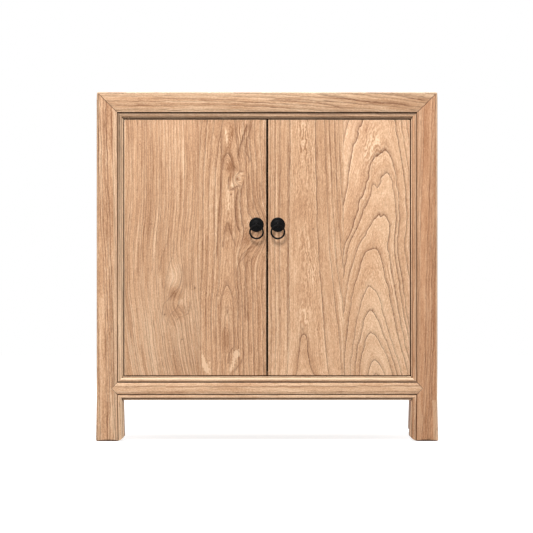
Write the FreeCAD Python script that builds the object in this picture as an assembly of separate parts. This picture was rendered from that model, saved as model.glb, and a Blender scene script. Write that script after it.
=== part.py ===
"""Kang cabinet of elm with two plank doors and iron ring pulls.

Lengths are millimetres. The origin is on the floor under the middle of the cabinet, +X is to
the right, +Y is to the back and +Z is up. Most sizes below are read as distances from the left
side, from the front and from the floor; the function at() turns them into points.
"""

import FreeCAD
import Part
import math
import os

# Overall sizes
cabinet_width = 850.0
cabinet_depth = 400.0
cabinet_height = 868.0

# Moulded face of the posts and rails, from the outer corner to the opening
broad_face = 51.5
groove_width = 2.4
bead_width = 9.9
ledge_width = 3.2
bead_crest_share = 0.6

# How far each part of that face lies behind its highest line
face_crown = 1.6
groove_depth = 6.6
bead_outer_setback = 3.4
bead_crest_setback = 1.2
bead_inner_setback = 6.0
ledge_setback = 7.4
edge_round = 6.0

# Top frame
top_frame_width = 67.0

# Bottom rails
bottom_rail_base = 102.0
bottom_rail_height = 58.6
bottom_rail_depth = 45.0
bottom_rail_crown = 0.7

# Tenons of the bottom rails: the mitred shoulder lies over the front of the tenon
shoulder_depth = 14.0
tenon_thickness = 14.0
tenon_height = 34.0
tenon_end = 30.0

# Tenons of the three way mitre at each top corner
corner_tenon_setback = 12.0
corner_tenon_thickness = 14.0
corner_tenon_start = 30.0
corner_tenon_width = 16.0
corner_tenon_cover = 16.0
mitre_tenon_start = 48.0
mitre_tenon_width = 14.0
mitre_tenon_reach = 30.0
mitre_tenon_drop = 24.0
mitre_tenon_thickness = 12.0

# Clearances of the joints, and how far a cutting tool runs past what it cuts
cheek_clearance = 0.1
end_clearance = 1.0
overrun = 5.0

# Feet
foot_outer_swell = 1.8
foot_inner_swell = 2.6
foot_outer_round_width = 6.5
foot_outer_round_height = 6.0
foot_inner_round_width = 22.0
foot_inner_round_height = 15.0
foot_round_share = 0.6

# Panels in their grooves
panel_groove_depth = 8.0
panel_face_clearance = 0.15
panel_edge_clearance = 1.5
side_panel_setback = 10.0
side_panel_thickness = 10.0
side_panel_boards = 2
back_panel_setback = 14.0
back_panel_thickness = 9.0
back_panel_boards = 5
top_panel_drop = 1.0
top_panel_thickness = 15.0
top_panel_gap = 0.5
top_tongue_thickness = 6.0
top_panel_boards = 2
floor_drop = 10.0
floor_thickness = 12.0
floor_boards = 2

# Shelf and the bearers that carry it
shelf_level = 470.0
shelf_thickness = 16.0
shelf_front = 60.0
shelf_clearance = 1.0
shelf_boards = 2
bearer_width = 22.0
bearer_height = 30.0
bearer_tenon_length = 12.0
bearer_tenon_width = 12.0
bearer_tenon_height = 20.0

# Dovetailed battens across the boards
batten_width = 36.0
batten_height = 14.0
batten_neck = 24.0
batten_flare = 2.5
batten_depth = 4.0
batten_clearance = 0.1
batten_chamfer = 3.0
batten_end_gap = 1.0
top_batten_tenon = 10.0
top_batten_shares = (0.2, 0.5, 0.8)
floor_batten_shares = (0.3, 0.7)
back_batten_shares = (0.22, 0.78)
door_batten_inset = 92.0
door_batten_end = 34.0

# Doors
door_thickness = 20.0
door_setback = 8.4
door_side_gap = 2.2
door_top_gap = 2.8
door_meeting_gap = 5.0
door_edge_round = 2.5
left_hinge_board_share = 0.53
right_hinge_board_share = 0.47

# Pivots of the doors: dowels in the door edges that turn in the rails
pivot_inset = 10.0
pivot_back = 8.0
pivot_radius = 4.0
pivot_clearance = 0.08
pivot_length = 12.0
pivot_socket_spare = 1.0
pivot_root = 30.0
washer_radius = 6.5
washer_thickness = 2.8

# Strips that stop the closed doors
stop_length = 300.0
stop_thickness = 14.0
stop_height = 12.0
stop_clearance = 0.3

# Ring pulls
pull_height = 538.4
pull_inset = 24.0
rosette_radius = 18.3
rosette_rim = 0.8
rosette_ridge_radius = 15.6
rosette_ridge_height = 2.3
rosette_valley_radius = 13.4
rosette_valley_height = 1.7
rosette_dome_height = 3.8
rosette_boss_radius = 3.4
eye_radius = 6.8
eye_hole_radius = 4.6
eye_width = 4.0
eye_edge_round = 0.5
leg_radius = 2.0
leg_clearance = 0.2
leg_split = 0.3
tail_length = 15.0
tail_thickness = 1.8
back_washer_radius = 7.0
back_washer_thickness = 1.2
ring_radius = 16.35
ring_wire_radius = 2.4
ring_seat_clearance = 0.3

# Sizes that follow from the ones above
moulding_width = groove_width + bead_width + ledge_width
post_face = broad_face + moulding_width
top_reference = cabinet_height + face_crown
opening_top = top_reference - post_face
bottom_rail_top = bottom_rail_base + bottom_rail_height
bottom_rail_middle = bottom_rail_base + bottom_rail_height / 2
shoulder_reach = bottom_rail_height / 2
door_bottom = bottom_rail_top + washer_thickness
door_top = opening_top - door_top_gap
door_hinge_edge = post_face + door_side_gap
door_meeting_edge = cabinet_width / 2 - door_meeting_gap / 2
door_width = door_meeting_edge - door_hinge_edge
door_back = door_setback + door_thickness
pivot_x = door_hinge_edge + pivot_inset
pivot_y = door_setback + pivot_back
pull_x = door_meeting_edge - pull_inset
eye_standoff = rosette_dome_height + eye_radius
eye_y = door_setback - eye_standoff
ring_top = pull_height - (eye_hole_radius - ring_wire_radius - ring_seat_clearance)


# Helpers for points, blocks, prisms and mirrored copies


def at(x, y, z):
    """The point that lies x from the left side, y from the front and z above the floor."""
    return FreeCAD.Vector(x - cabinet_width / 2, y - cabinet_depth / 2, z)


def block(x0, x1, y0, y1, z0, z1):
    """A block between two corners, given as distances from the left, the front and the floor."""
    corner = at(x0, y0, z0)
    return Part.makeBox(x1 - x0, y1 - y0, z1 - z0, corner)


def from_back(y):
    """A distance from the back, as a distance from the front."""
    return cabinet_depth - y


def from_top(z):
    """A distance below the reference plane of the top corners, as a height above the floor."""
    return top_reference - z


def edges_of(runs, place):
    """Lines and arcs through runs of two or three flat points, put in space by place()."""
    edges = []
    for run in runs:
        points = [place(*point) for point in run]
        curve = Part.LineSegment(*points) if len(points) == 2 else Part.Arc(*points)
        edges.append(curve.toShape())
    return edges


def lines_through(points):
    """Runs that join flat points in order."""
    return [(a, b) for a, b in zip(points, points[1:])]


def reversed_runs(runs):
    """The same runs, walked the other way."""
    return [tuple(reversed(run)) for run in reversed(runs)]


def moved_runs(runs, change):
    """The same runs with each flat point put through change()."""
    return [tuple(change(*point) for point in run) for run in runs]


def solid_from(runs, place, direction):
    """The closed outline of the runs, pushed along a direction."""
    face = Part.Face(Part.Wire(edges_of(runs, place)))
    return face.extrude(direction)


def prism(points, place, direction):
    """A closed polygon of flat points, pushed along a direction."""
    return solid_from(lines_through(points + points[:1]), place, direction)


def mirrored(shape):
    """The same piece on the right of the cabinet."""
    return shape.mirror(FreeCAD.Vector(), FreeCAD.Vector(1, 0, 0))


def both_sides(shape):
    """A piece and its mirror image."""
    return [shape, mirrored(shape)]


def cylinder(x, y, z, radius, length, direction):
    """A cylinder that starts at a point and runs along a direction."""
    return Part.makeCylinder(radius, length, at(x, y, z), direction)


UP = FreeCAD.Vector(0, 0, 1)
BACK = FreeCAD.Vector(0, 1, 0)
RIGHT = FreeCAD.Vector(1, 0, 0)
FULL_TURN = 360


# Mouldings: each flat point is a place across the face and a depth behind its highest line


def moulding_runs():
    """Groove, bead and ledge, measured across the face from the edge of the opening."""
    bead_edge = ledge_width + bead_width
    groove_bottom = (moulding_width - groove_width / 2, groove_depth)
    bead_start = (bead_edge, bead_outer_setback)
    bead_crest = (ledge_width + bead_width * bead_crest_share, bead_crest_setback)
    bead_end = (ledge_width, bead_inner_setback)
    ledge_corner = (ledge_width, ledge_setback)
    return [
        ((moulding_width, face_crown), groove_bottom),
        (groove_bottom, bead_start),
        (bead_start, bead_crest, bead_end),
        (bead_end, ledge_corner),
        (ledge_corner, (0, ledge_setback)),
    ]


def plain_face_runs():
    """The crowned broad face, measured from the outer corner."""
    middle = (edge_round + broad_face) / 2
    return [((edge_round, face_crown), (middle, 0), (broad_face, face_crown))]


def moulded_face_runs():
    """The crowned broad face and its moulding, measured from the outer corner."""
    moulding = moved_runs(moulding_runs(), lambda q, depth: (post_face - q, depth))
    return plain_face_runs() + moulding


def corner_run():
    """The rounded outer corner, from one face to the other."""
    middle = edge_round - (edge_round - face_crown) * math.cos(math.pi / 4)
    return [((face_crown, edge_round), (middle, middle), (edge_round, face_crown))]


def swapped(runs):
    """The same runs on the other face of the corner."""
    return moved_runs(runs, lambda across, depth: (depth, across))


def bottom_rail_face_runs():
    """Face of a bottom rail, moulded along both edges and measured down from its top edge."""
    middle_depth = face_crown - bottom_rail_crown
    lower = bottom_rail_height - moulding_width
    middle = (bottom_rail_height / 2, middle_depth)
    upper = reversed_runs(moulding_runs())
    below = moved_runs(moulding_runs(), lambda q, depth: (bottom_rail_height - q, depth))
    return upper + [((moulding_width, face_crown), middle, (lower, face_crown))] + below


# Cutting tools of the joints


def beyond_diagonal(place, direction):
    """All that lies on the far side of a 45 degree plane through a corner edge."""
    size = max(post_face, top_frame_width) + overrun
    points = [(-overrun, -overrun), (size, size), (-overrun, size)]
    return prism(points, place, direction)


def corner_planes():
    """Tools for the front left top corner that keep the part nearest to each member's own axis.

    Each name tells which of two coordinates is the smaller on the side that is cut away.
    """
    size = max(post_face, top_frame_width) + 2 * overrun
    low = -2 * overrun

    def level(a, b):
        return at(a, b, from_top(size))

    def upright_front(a, b):
        return at(a, low, from_top(b))

    def upright_side(a, b):
        return at(low, a, from_top(b))

    rise = UP * (size - low)
    away = BACK * (size - low)
    across = RIGHT * (size - low)
    return {
        "x_below_y": beyond_diagonal(level, rise),
        "y_below_x": beyond_diagonal(lambda a, b: level(b, a), rise),
        "x_below_z": beyond_diagonal(upright_front, away),
        "z_below_x": beyond_diagonal(lambda a, b: upright_front(b, a), away),
        "y_below_z": beyond_diagonal(upright_side, across),
        "z_below_y": beyond_diagonal(lambda a, b: upright_side(b, a), across),
    }


def to_back(shape):
    """A tool of a front corner, moved to the corner behind it."""
    return shape.mirror(FreeCAD.Vector(), BACK)


def corner_tenons(clearance, spare):
    """The two tenons on a front left post: one for the front rail and one for the side rail."""
    near = corner_tenon_setback - clearance
    far = corner_tenon_setback + corner_tenon_thickness + clearance
    start = corner_tenon_start - clearance
    end = corner_tenon_start + corner_tenon_width + clearance
    top = from_top(corner_tenon_cover) + spare
    foot = from_top(corner_tenon_start + corner_tenon_width + overrun)
    return [block(start, end, near, far, foot, top), block(near, far, start, end, foot, top)]


def mitre_tenon(clearance, spare):
    """The tenon of the left side rail that enters the front rail."""
    left = mitre_tenon_start - clearance
    right = mitre_tenon_start + mitre_tenon_width + clearance
    top = from_top(mitre_tenon_drop) + clearance
    base = from_top(mitre_tenon_drop + mitre_tenon_thickness) - clearance
    return block(left, right, mitre_tenon_reach - spare, right + overrun, base, top)


def shoulder_prism(depth_from, depth_to):
    """The 45 degree arrow of a bottom rail's shoulder over the front of the left post."""
    tip = (post_face - shoulder_reach, bottom_rail_middle)
    upper = (post_face, bottom_rail_top)
    lower = (post_face, bottom_rail_base)
    push = BACK * (depth_to - depth_from)
    return prism([tip, upper, lower], lambda x, z: at(x, depth_from, z), push)


def rail_tenon(inner_face, clearance, spare):
    """A bottom rail's tenon in the left post, seen from the front."""
    half = tenon_height / 2 + clearance
    front = shoulder_depth - clearance
    back = shoulder_depth + tenon_thickness + clearance
    low = bottom_rail_middle - half
    high = bottom_rail_middle + half
    return block(tenon_end - spare, inner_face + overrun, front, back, low, high)


def across_corner(shape):
    """A tool of the front left corner with its front and side faces swapped."""
    corner = at(0, 0, 0)
    normal = FreeCAD.Vector(1, -1, 0)
    return shape.mirror(corner, normal)


# Panels, as corner distances, so that grooves follow them


def side_panel_extent():
    """Left side panel: x0, x1, y0, y1, z0, z1."""
    return (
        side_panel_setback,
        side_panel_setback + side_panel_thickness,
        post_face - panel_groove_depth,
        from_back(post_face - panel_groove_depth),
        bottom_rail_top - panel_groove_depth,
        opening_top + panel_groove_depth,
    )


def back_panel_extent():
    """Back panel: x0, x1, y0, y1, z0, z1."""
    return (
        broad_face - panel_groove_depth,
        cabinet_width - broad_face + panel_groove_depth,
        from_back(back_panel_setback + back_panel_thickness),
        from_back(back_panel_setback),
        bottom_rail_top - panel_groove_depth,
        from_top(broad_face) + panel_groove_depth,
    )


def top_tongue_extent():
    """Tongue round the top panel: x0, x1, y0, y1, z0, z1."""
    edge = top_frame_width - panel_groove_depth
    underside = cabinet_height - top_panel_drop - top_panel_thickness
    return (
        edge,
        cabinet_width - edge,
        edge,
        from_back(edge),
        underside,
        underside + top_tongue_thickness,
    )


def floor_extent():
    """Floor boards: x0, x1, y0, y1, z0, z1."""
    edge = bottom_rail_depth - panel_groove_depth
    top = bottom_rail_top - floor_drop
    return (
        edge,
        cabinet_width - edge,
        edge,
        from_back(edge),
        top - floor_thickness,
        top,
    )


def groove_of(extent, thin_axis):
    """The space a panel needs: easy along its edges and close on its faces."""
    grown = []
    for axis in range(3):
        spare = panel_face_clearance if axis == thin_axis else panel_edge_clearance
        grown += [extent[2 * axis] - spare, extent[2 * axis + 1] + spare]
    return block(*grown)


def side_groove():
    """Groove of the left side panel."""
    return groove_of(side_panel_extent(), 0)


def back_groove():
    """Groove of the back panel."""
    return groove_of(back_panel_extent(), 1)


def top_groove():
    """Groove of the top panel's tongue."""
    return groove_of(top_tongue_extent(), 2)


def floor_groove():
    """Groove of the floor boards."""
    return groove_of(floor_extent(), 2)


def boards_of(shape, axis, count, edges):
    """A panel sawn into boards of equal width, from one edge to the other along an axis."""
    low, high = edges
    joints = [low + (high - low) * number / count for number in range(1, count)]
    return split_at(shape, axis, joints)


def split_at(shape, axis, joints):
    """A shape sawn apart at distances along an axis: 0 is from the left and 1 from the front."""
    reach = 2 * (cabinet_width + cabinet_depth + cabinet_height)
    limits = [-reach] + list(joints) + [reach]
    pieces = []
    for low, high in zip(limits, limits[1:]):
        extent = [-reach, reach, -reach, reach, -reach, reach]
        extent[2 * axis] = low
        extent[2 * axis + 1] = high
        pieces += shape.common(block(*extent)).Solids
    return pieces


# Battens


def batten_points(clearance):
    """Section of a batten: flat points across it and above the face of its boards."""
    half = batten_width / 2
    neck = batten_neck / 2 + clearance
    root = neck + batten_flare
    depth = batten_depth + clearance
    return [
        (-half, 0),
        (-half, batten_height - batten_chamfer),
        (batten_chamfer - half, batten_height),
        (half - batten_chamfer, batten_height),
        (half, batten_height - batten_chamfer),
        (half, 0),
        (neck, 0),
        (root, -depth),
        (-root, -depth),
        (-neck, 0),
    ]


def batten_and_housing(place, direction):
    """A batten, and the tool that cuts its dovetailed housing."""
    batten = prism(batten_points(0), place, direction)
    housing = prism(batten_points(batten_clearance), place, direction)
    return batten, housing


# Posts


def foot_corner_tool(edge, inward, width, height, place, direction):
    """Rounds one lower corner of a foot: a tight arc at its side runs into a wide one below."""
    tight = height * foot_round_share
    across = width - tight
    wide = (across**2 + height**2 - tight**2) / (2 * (height - tight))
    turn = math.atan2(wide - height, across)

    def on_arc(centre, radius, angle):
        side = centre[0] - radius * math.cos(angle)
        return edge + inward * side, centre[1] - radius * math.sin(angle)

    side_centre = (tight, height)
    floor_centre = (width, wide)
    top = (edge, height)
    join = on_arc(side_centre, tight, turn)
    start = (edge + inward * width, 0)
    side_arc = (top, on_arc(side_centre, tight, turn / 2), join)
    floor_arc = (join, on_arc(floor_centre, wide, (turn + math.pi / 2) / 2), start)
    outer = edge - inward * overrun
    corners = [start, (start[0], -overrun), (outer, -overrun), (outer, height), top]
    return solid_from([side_arc, floor_arc] + lines_through(corners), place, direction)


def foot_tools(width, depth):
    """Rounding tools of a foot at the front left corner, across both of its faces."""
    start = -foot_outer_swell - overrun
    reach = post_face + foot_inner_swell + overrun - start
    sides = [
        (lambda x, z: at(x, start, z), BACK * reach, width + foot_inner_swell),
        (lambda y, z: at(start, y, z), RIGHT * reach, depth + foot_inner_swell),
    ]
    inner_round = (foot_inner_round_width, foot_inner_round_height)
    outer_round = (foot_outer_round_width, foot_outer_round_height)
    tools = []
    for place, direction, inner_face in sides:
        tools.append(foot_corner_tool(-foot_outer_swell, 1, *outer_round, place, direction))
        tools.append(foot_corner_tool(inner_face, -1, *inner_round, place, direction))
    return tools


def foot_below(outline, width, depth):
    """The foot under the bottom rails, which widens a little down to the floor."""
    grow_x = 1 + (foot_outer_swell + foot_inner_swell) / width
    grow_y = 1 + (foot_outer_swell + foot_inner_swell) / depth

    def widened(x, y):
        return x * grow_x - foot_outer_swell, y * grow_y - foot_outer_swell

    upper = Part.Wire(edges_of(outline, lambda x, y: at(x, y, bottom_rail_base)))
    lower = Part.Wire(edges_of(moved_runs(outline, widened), lambda x, y: at(x, y, 0)))
    return Part.makeLoft([lower, upper], True, True)


def post_blank(front_runs, side_runs, width, depth):
    """A post at the front left corner with its two faces, before its joints are cut."""
    front_end = front_runs[-1][-1]
    side_end = side_runs[-1][-1]
    back_corner = (width, depth)
    closing = lines_through([front_end, back_corner, (side_end[1], side_end[0])])
    outline = corner_run() + front_runs + closing + reversed_runs(swapped(side_runs))
    rise = UP * (top_reference - bottom_rail_base)
    shaft = solid_from(outline, lambda x, y: at(x, y, bottom_rail_base), rise)
    return shaft.fuse(foot_below(outline, width, depth))


def mitred_post(blank, width, depth):
    """The post with the three way mitre at its top and its foot rounded."""
    planes = corner_planes()
    post = blank.cut([planes["z_below_x"], planes["z_below_y"]])
    post = post.fuse(corner_tenons(0, 0)).removeSplitter()
    return post.cut(foot_tools(width, depth))


def front_post():
    """Left front post with its mortises and grooves."""
    runs = moulded_face_runs()
    post = mitred_post(post_blank(runs, runs, post_face, post_face), post_face, post_face)
    shoulder = shoulder_prism(-overrun, shoulder_depth)
    mortise = rail_tenon(post_face, cheek_clearance, end_clearance)
    tools = [shoulder, mortise, across_corner(shoulder), across_corner(mortise)]
    tools += [side_groove(), floor_groove(), bearer_mortise()]
    return post.cut(tools)


def rear_post():
    """Left rear post: moulded on the side, plain on the back."""
    blank = post_blank(plain_face_runs(), moulded_face_runs(), broad_face, post_face)
    post = mitred_post(blank, broad_face, post_face)
    side_shoulder = across_corner(shoulder_prism(-overrun, shoulder_depth))
    side_mortise = across_corner(rail_tenon(post_face, cheek_clearance, end_clearance))
    back_mortise = rail_tenon(broad_face, cheek_clearance, end_clearance)
    post = to_back(post.cut([side_shoulder, side_mortise, back_mortise]))
    return post.cut([side_groove(), floor_groove(), back_groove(), to_back(bearer_mortise())])


# Top rails


def top_rail_outline(face_runs, height):
    """Section of a top rail: flat points are a depth behind its face and a drop below the top."""
    face = [tuple((depth, drop) for drop, depth in run) for run in face_runs]
    lower_corner = face[-1][-1]
    closing = lines_through(
        [
            lower_corner,
            (top_frame_width, height),
            (top_frame_width, face_crown),
            (edge_round, face_crown),
        ]
    )
    return reversed_runs(corner_run()) + face + closing


def top_front_rail():
    """Front rail of the top frame, mitred to the posts and side rails."""
    outline = top_rail_outline(moulded_face_runs(), post_face)
    rail = solid_from(outline, lambda y, z: at(0, y, from_top(z)), RIGHT * cabinet_width)
    planes = corner_planes()
    tools = both_sides(planes["x_below_y"]) + both_sides(planes["x_below_z"])
    for tenon in corner_tenons(cheek_clearance, end_clearance):
        tools += both_sides(tenon)
    tools += both_sides(mitre_tenon(cheek_clearance, end_clearance))
    tools += [top_groove()] + both_sides(top_pivot_socket()) + top_batten_mortises()
    return rail.cut(tools)


def top_rear_rail():
    """Rear rail of the top frame, plain on the back."""
    outline = top_rail_outline(plain_face_runs(), broad_face)
    rail = solid_from(outline, lambda y, z: at(0, y, from_top(z)), RIGHT * cabinet_width)
    planes = corner_planes()
    tools = both_sides(planes["x_below_y"]) + both_sides(planes["x_below_z"])
    for tenon in corner_tenons(cheek_clearance, end_clearance):
        tools += both_sides(tenon)
    tools += both_sides(mitre_tenon(cheek_clearance, end_clearance))
    rail = to_back(rail.cut(tools))
    return rail.cut([top_groove(), back_groove()] + top_batten_mortises())


def top_side_rail():
    """Left rail of the top frame, with the tenons that enter the front and rear rails."""
    outline = top_rail_outline(moulded_face_runs(), post_face)
    rail = solid_from(outline, lambda x, z: at(x, 0, from_top(z)), BACK * cabinet_depth)
    planes = corner_planes()
    tools = []
    for name in ("y_below_x", "y_below_z"):
        tools += [planes[name], to_back(planes[name])]
    rail = rail.cut(tools)
    tenon = mitre_tenon(0, 0)
    rail = rail.fuse([tenon, to_back(tenon)]).removeSplitter()
    tools = [side_groove(), top_groove()]
    for tenon in corner_tenons(cheek_clearance, end_clearance):
        tools += [tenon, to_back(tenon)]
    return rail.cut(tools)


# Bottom rails


def shouldered_rail(length):
    """A bottom rail seen from the front, with arrow shoulders and tenons at both ends."""
    face = [tuple((depth, drop) for drop, depth in run) for run in bottom_rail_face_runs()]
    closing = lines_through(
        [
            (ledge_setback, bottom_rail_height),
            (bottom_rail_depth, bottom_rail_height),
            (bottom_rail_depth, 0),
            (ledge_setback, 0),
        ]
    )
    blank = solid_from(face + closing, lambda y, z: at(0, y, bottom_rail_top - z), RIGHT * length)
    reach = post_face + overrun
    low = bottom_rail_base - overrun
    high = bottom_rail_top + overrun
    shoulder_cut = block(-overrun, post_face, -overrun, bottom_rail_depth + overrun, low, high)
    shoulder_cut = shoulder_cut.cut(shoulder_prism(-2 * overrun, shoulder_depth))
    half = block(0, length / 2, -overrun, bottom_rail_depth + overrun, low, high)
    left = blank.common(half).cut(shoulder_cut)
    tenon = rail_tenon(post_face, 0, 0).common(block(0, reach, 0, reach, low, high))
    left = left.fuse(tenon)
    middle = at(length / 2, 0, 0)
    right = left.mirror(middle, RIGHT)
    return left.fuse(right).removeSplitter()


def bottom_front_rail():
    """Front bottom rail with the sockets of the door pivots."""
    rail = shouldered_rail(cabinet_width)
    return rail.cut([floor_groove()] + both_sides(bottom_pivot_socket()))


def bottom_side_rail():
    """Left bottom rail."""
    rail = across_corner(shouldered_rail(cabinet_depth))
    return rail.cut([floor_groove(), side_groove()])


def bottom_rear_rail():
    """Rear bottom rail: a plain rail with square shoulders."""
    front = face_crown
    rail = block(
        broad_face,
        cabinet_width - broad_face,
        front,
        bottom_rail_depth,
        bottom_rail_base,
        bottom_rail_top,
    )
    tenon = rail_tenon(broad_face, 0, 0)
    rail = to_back(rail.fuse(both_sides(tenon)).removeSplitter())
    return rail.cut([floor_groove(), back_groove()])


# Panels and battens of the carcass


def top_batten_places():
    """Where the top battens lie, from the left."""
    inner = cabinet_width - 2 * top_frame_width
    return [top_frame_width + inner * share for share in top_batten_shares]


def top_batten(x, clearance, end):
    """One batten under the top panel, with an end that enters the rails."""
    underside = cabinet_height - top_panel_drop - top_panel_thickness
    start = top_frame_width - end
    length = cabinet_depth - 2 * start

    def place(across, height):
        return at(x + across, start, underside - height)

    return prism(batten_points(clearance), place, BACK * length)


def top_batten_mortises():
    """Pockets of the top battens in the front and rear rails."""
    underside = cabinet_height - top_panel_drop - top_panel_thickness
    start = top_frame_width - top_batten_tenon - end_clearance
    half = batten_width / 2 + cheek_clearance
    low = underside - batten_height - cheek_clearance
    return [
        block(x - half, x + half, start, from_back(start), low, underside + panel_face_clearance)
        for x in top_batten_places()
    ]


def top_panel_and_battens():
    """Boards of the top panel, and the battens under them."""
    tongue = block(*top_tongue_extent())
    edge = top_frame_width + top_panel_gap
    top = cabinet_height - top_panel_drop
    right = cabinet_width - edge
    body = block(edge, right, edge, from_back(edge), top - top_panel_thickness, top)
    panel = body.fuse(tongue).removeSplitter()
    battens = []
    for x in top_batten_places():
        battens.append(trimmed_top_batten(x))
        panel = panel.cut(top_batten(x, batten_clearance, top_batten_tenon))
    boards = boards_of(panel, 1, top_panel_boards, (edge, from_back(edge)))
    return boards, battens


def trimmed_top_batten(x):
    """A top batten whose dovetail stops short of the tongue's groove in the rails."""
    batten = top_batten(x, 0, top_batten_tenon)
    underside = cabinet_height - top_panel_drop - top_panel_thickness
    edge = top_frame_width - panel_groove_depth
    half = batten_width / 2 + overrun
    high = underside + batten_depth + overrun
    ends = [
        block(x - half, x + half, 0, edge, underside, high),
        block(x - half, x + half, from_back(edge), cabinet_depth, underside, high),
    ]
    return batten.cut(ends)


def side_panel():
    """Boards of the left side panel."""
    extent = side_panel_extent()
    return boards_of(block(*extent), 1, side_panel_boards, (extent[2], extent[3]))


def back_panel_and_battens():
    """Boards of the back panel, and the battens inside them."""
    extent = back_panel_extent()
    panel = block(*extent)
    face = extent[2]
    start = broad_face + batten_end_gap
    length = cabinet_width - 2 * start
    battens = []
    for share in back_batten_shares:
        level = bottom_rail_top + (opening_top - bottom_rail_top) * share

        def place(across, height):
            return at(start, face - height, level + across)

        batten, housing = batten_and_housing(place, RIGHT * length)
        battens.append(batten)
        panel = panel.cut(housing)
    boards = boards_of(panel, 0, back_panel_boards, (extent[0], extent[1]))
    return boards, battens


def floor_and_battens():
    """Floor boards, notched round the posts, and the battens under them."""
    extent = floor_extent()
    post = post_face + panel_edge_clearance
    notch = block(-overrun, post, -overrun, post, 0, cabinet_height)
    rear_notch = to_back(
        block(-overrun, broad_face + panel_edge_clearance, -overrun, post, 0, cabinet_height)
    )
    panel = block(*extent).cut(both_sides(notch) + both_sides(rear_notch))
    start = bottom_rail_depth + batten_end_gap
    length = cabinet_depth - 2 * start
    battens = []
    for share in floor_batten_shares:
        x = cabinet_width * share

        def place(across, height):
            return at(x + across, start, extent[4] - height)

        batten, housing = batten_and_housing(place, BACK * length)
        battens.append(batten)
        panel = panel.cut(housing)
    boards = boards_of(panel, 1, floor_boards, (extent[2], extent[3]))
    return boards, battens


# Shelf


def bearer_extent():
    """Left shelf bearer between the posts: x0, x1, y0, y1, z0, z1."""
    outer = side_panel_setback + side_panel_thickness
    top = shelf_level - shelf_thickness
    return (
        outer,
        outer + bearer_width,
        post_face,
        from_back(post_face),
        top - bearer_height,
        top,
    )


def bearer_tenon(clearance, spare):
    """Tenon of the shelf bearer in the left front post."""
    x0, x1, y0, _, z0, z1 = bearer_extent()
    middle_x = (x0 + x1) / 2
    middle_z = (z0 + z1) / 2
    half_width = bearer_tenon_width / 2 + clearance
    half_height = bearer_tenon_height / 2 + clearance
    start = y0 - bearer_tenon_length - spare
    return block(
        middle_x - half_width,
        middle_x + half_width,
        start,
        y0,
        middle_z - half_height,
        middle_z + half_height,
    )


def bearer_mortise():
    """Mortise of the shelf bearer in the left front post."""
    return bearer_tenon(cheek_clearance, end_clearance)


def shelf_bearer():
    """Left shelf bearer."""
    tenon = bearer_tenon(0, 0)
    bearer = block(*bearer_extent())
    return bearer.fuse([tenon, to_back(tenon)]).removeSplitter()


def shelf():
    """Shelf boards, notched round the posts."""
    side = side_panel_setback + side_panel_thickness + shelf_clearance
    back = back_panel_extent()[2] - shelf_clearance
    base = shelf_level - shelf_thickness
    panel = block(side, cabinet_width - side, shelf_front, back, base, shelf_level)
    front_notch = post_face + shelf_clearance
    rear_notch = broad_face + shelf_clearance
    front = block(0, front_notch, 0, front_notch, base, shelf_level)
    rear = to_back(block(0, rear_notch, 0, front_notch, base, shelf_level))
    panel = panel.cut(both_sides(front) + both_sides(rear))
    return boards_of(panel, 1, shelf_boards, (shelf_front, back))


# Doors


def door_blank():
    """Left door before its boards are told apart, with the hinge edge rounded."""
    inset = door_edge_round * (1 - math.cos(math.pi / 4))
    front = (door_hinge_edge + door_edge_round, door_setback)
    side = (door_hinge_edge, door_setback + door_edge_round)
    arc = (side, (door_hinge_edge + inset, door_setback + inset), front)
    corners = [front, (door_meeting_edge, door_setback), (door_meeting_edge, door_back)]
    corners += [(door_hinge_edge, door_back), side]
    outline = [arc] + lines_through(corners)
    rise = UP * (door_top - door_bottom)
    return solid_from(outline, lambda x, y: at(x, y, door_bottom), rise)


def door_battens():
    """The two battens on the back of the left door, and their housings."""
    start = door_hinge_edge + door_batten_end
    length = door_width - 2 * door_batten_end
    levels = (door_bottom + door_batten_inset, door_top - door_batten_inset)
    battens = []
    housings = []
    for level in levels:

        def place(across, height):
            return at(start, door_back + height, level + across)

        batten, housing = batten_and_housing(place, RIGHT * length)
        battens.append(batten)
        housings.append(housing)
    return battens, housings


def pivot_dowels():
    """The two dowels that the left door turns on."""
    length = pivot_root + pivot_length
    low = cylinder(pivot_x, pivot_y, door_bottom - pivot_length, pivot_radius, length, UP)
    high = cylinder(pivot_x, pivot_y, door_top - pivot_root, pivot_radius, length, UP)
    return [low, high]


def bottom_pivot_socket():
    """Socket of the left door's lower dowel."""
    start = door_bottom - pivot_length - pivot_socket_spare
    radius = pivot_radius + pivot_clearance
    return cylinder(pivot_x, pivot_y, start, radius, bottom_rail_top + overrun - start, UP)


def top_pivot_socket():
    """Socket of the left door's upper dowel."""
    start = opening_top - overrun
    end = door_top + pivot_length + pivot_socket_spare
    return cylinder(pivot_x, pivot_y, start, pivot_radius + pivot_clearance, end - start, UP)


def door_boards(hinge_board_share):
    """Hinge board and meeting board of the left door."""
    _, housings = door_battens()
    leg_hole = leg_radius + leg_clearance
    bore = cylinder(pull_x, door_setback - overrun, pull_height, leg_hole, reach_through(), BACK)
    panel = door_blank().cut(pivot_dowels() + housings + [bore])
    joint = door_hinge_edge + door_width * hinge_board_share
    return split_at(panel, 0, [joint])


def reach_through():
    """Length of a tool that goes right through a door."""
    return door_thickness + 2 * overrun


def pivot_washer():
    """Washer that the left door stands on."""
    disc = cylinder(pivot_x, pivot_y, bottom_rail_top, washer_radius, washer_thickness, UP)
    radius = pivot_radius + pivot_clearance
    return disc.cut(
        cylinder(pivot_x, pivot_y, bottom_rail_top - overrun, radius, 3 * overrun, UP)
    )


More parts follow.
